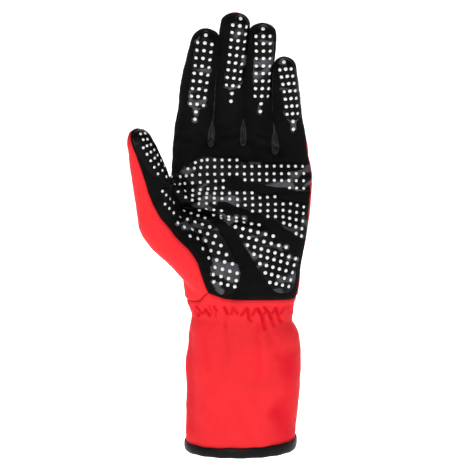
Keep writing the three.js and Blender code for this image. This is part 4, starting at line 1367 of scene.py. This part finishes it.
def bindingPlace(u, v):
    # v runs down the outside, round the hem's edge and up the inside
    angle = 2 * np.pi * u
    height, low = binding["height"], binding["bottom"]
    out, inner = binding["clear"], -binding["cloth"] - binding["clear"]
    leg = binding["leg"]
    down = np.clip(v / leg, 0, 1)
    up = np.clip((v - 1 + leg) / leg, 0, 1)
    turn = np.clip((v - leg) / (1 - 2 * leg), 0, 1) * np.pi
    bend = (out - inner) / 2
    off = (out + inner) / 2 + bend * np.cos(turn)
    off = off + binding["puff"] * np.sin(np.pi * down) ** 0.6 * (v < leg)
    z = height + (low + bend - height) * down - bend * np.sin(turn) + (height - low - bend) * up
    row = sectionAt(z)
    c, s = np.cos(angle), np.sin(angle)
    wave = binding["longWaves"] * np.sin(7 * angle + 1) * np.clip(z / 9, 0, 1)
    wave = wave + binding["shortWaves"] * np.sin(17 * angle)
    x = (np.where(c > 0, row["littleSide"], row["thumbSide"]) + off) * squarer(c, row["square"])
    tilt, halfWidth = binding["tilt"], binding["halfWidth"]
    wave = wave + tilt * x + binding["wider"] * x / halfWidth * np.clip(z / height, 0, 1)
    y = (row["palmar"] + off) * squarer(s, row["square"])
    return np.stack([x, y, z + wave + tilt * halfWidth], axis=1)


def makeBinding(material):
    bm = bmesh.new()
    wrapGrid(bm, around=150, along=26, place=bindingPlace)
    bmesh.ops.recalc_face_normals(bm, faces=bm.faces)
    ob = meshObject("hemBinding", bm, material)
    addWall(ob, binding["tape"], 1)
    return handOver(ob, "hem_binding")


# Making it all

bpy.context.scene.view_settings.view_transform = "Standard"
makeCamera()
makeStudio()
print("studio ready")

form = fusedForm()
print("form fused:", len(form.verts), "points")
addFolds(form)
print("folds pressed in")
sinkSeams(form, cutPanels(form))
print("panels cut")

suede, redCloth, knit = suedeMaterial(), clothMaterial(), knitMaterial()
tape, white = tapeMaterial(), dotMaterial()
prints = {name: printMaterial(name + "Print", smoke) for name, smoke in printFinish["smokeFrom"].items()}
redThread = threadMaterial("redThread", (0.92, 0.03, 0.04))
blackThread = threadMaterial("blackThread", (0.03, 0.03, 0.035))

# name, material, thickness, solid and slot, in the order of the labels
panels = [
    ("palmSuede", suede, 1.2, "palm_panel", "suede"),
    ("backCloth", redCloth, 1.2, "back_panel", "red_cloth"),
    ("thumbCloth", redCloth, 1.2, "thumb_panel", "red_cloth"),
    ("fourchetteIndexMiddle", knit, 1.0, "fourchette_index_middle", "stretch_knit"),
    ("fourchetteMiddleRing", knit, 1.0, "fourchette_middle_ring", "stretch_knit"),
    ("fourchetteRingLittle", knit, 1.0, "fourchette_ring_little", "stretch_knit"),
    ("cuffCloth", redCloth, 1.2, "cuff", "red_cloth"),
]
for label, (name, *cut) in enumerate(panels):
    panelFrom(form, label, name, *cut)
print("panels made")

skinTree = BVHTree.FromBMesh(form)
dotSets = {name: stripPoints(strip) for name, strip in strips.items()}
for name, rows in dotRows.items():
    dotSets[name] = [(point, dotSize(*point)) for row in rows for point in rowPoints(row)]

skin = onlyPanel(form, labels["palm"])


def onFront(low, high, left, right):
    # keeps the palm side between two heights and two sides
    return lambda c: c.y < middleY(c.z) - 0.5 and low < c.z < high and left < c.x < right


grips = [("palm", palmBands, onFront(108, 217, -60, 60)),
         ("thumb", [stripBand(thumbStrip)], onFront(190, 240, -90, -45))]
for name, strip in strips.items():
    lineX = stripLine(strip, 0.5)[0]
    grips.append((name, [stripBand(strip)], onFront(222, 320, lineX - 12, lineX + 12)))
gripTrees = [skinTree]
for name, bands, keep in grips:
    field = bandField(bands, dotSets[name])
    grip = printFrom(skin, keep, lambda places: field(asSeen(places)), name + "Grip",
                     prints.get(name, prints["finger"]), name + "_grip")
    gripTrees.append(BVHTree.FromObject(grip, bpy.context.evaluated_depsgraph_get()))
print("print laid on")

for name, points in dotSets.items():
    placeDots(gripTrees, points, name + "Dots", white)

sewn = [("wristStitches", "cuff", ("palm", "back", "thumb"), cuffField),
        ("thumbStitches", "thumb", ("palm",), thumbField)]
for name, panel, neighbours, field in sewn:
    runs = borderRuns(form, labels[panel], [labels[other] for other in neighbours])
    stitchAlong(runs, skinTree, lambda p: field(np.array([p]) / mm)[0], name, redThread,
                stitch["inset"])
hemRun = [Vector(co) * mm for co in bindingPlace(np.linspace(0, 1, 240), np.full(240, 0.1))]
bindingTree = BVHTree.FromObject(makeBinding(tape), bpy.context.evaluated_depsgraph_get())
stitchAlong([hemRun], bindingTree, lambda p: -p.z, "hemStitches", blackThread, 0.0)
print("stitches sewn")

form.free()
skin.free()
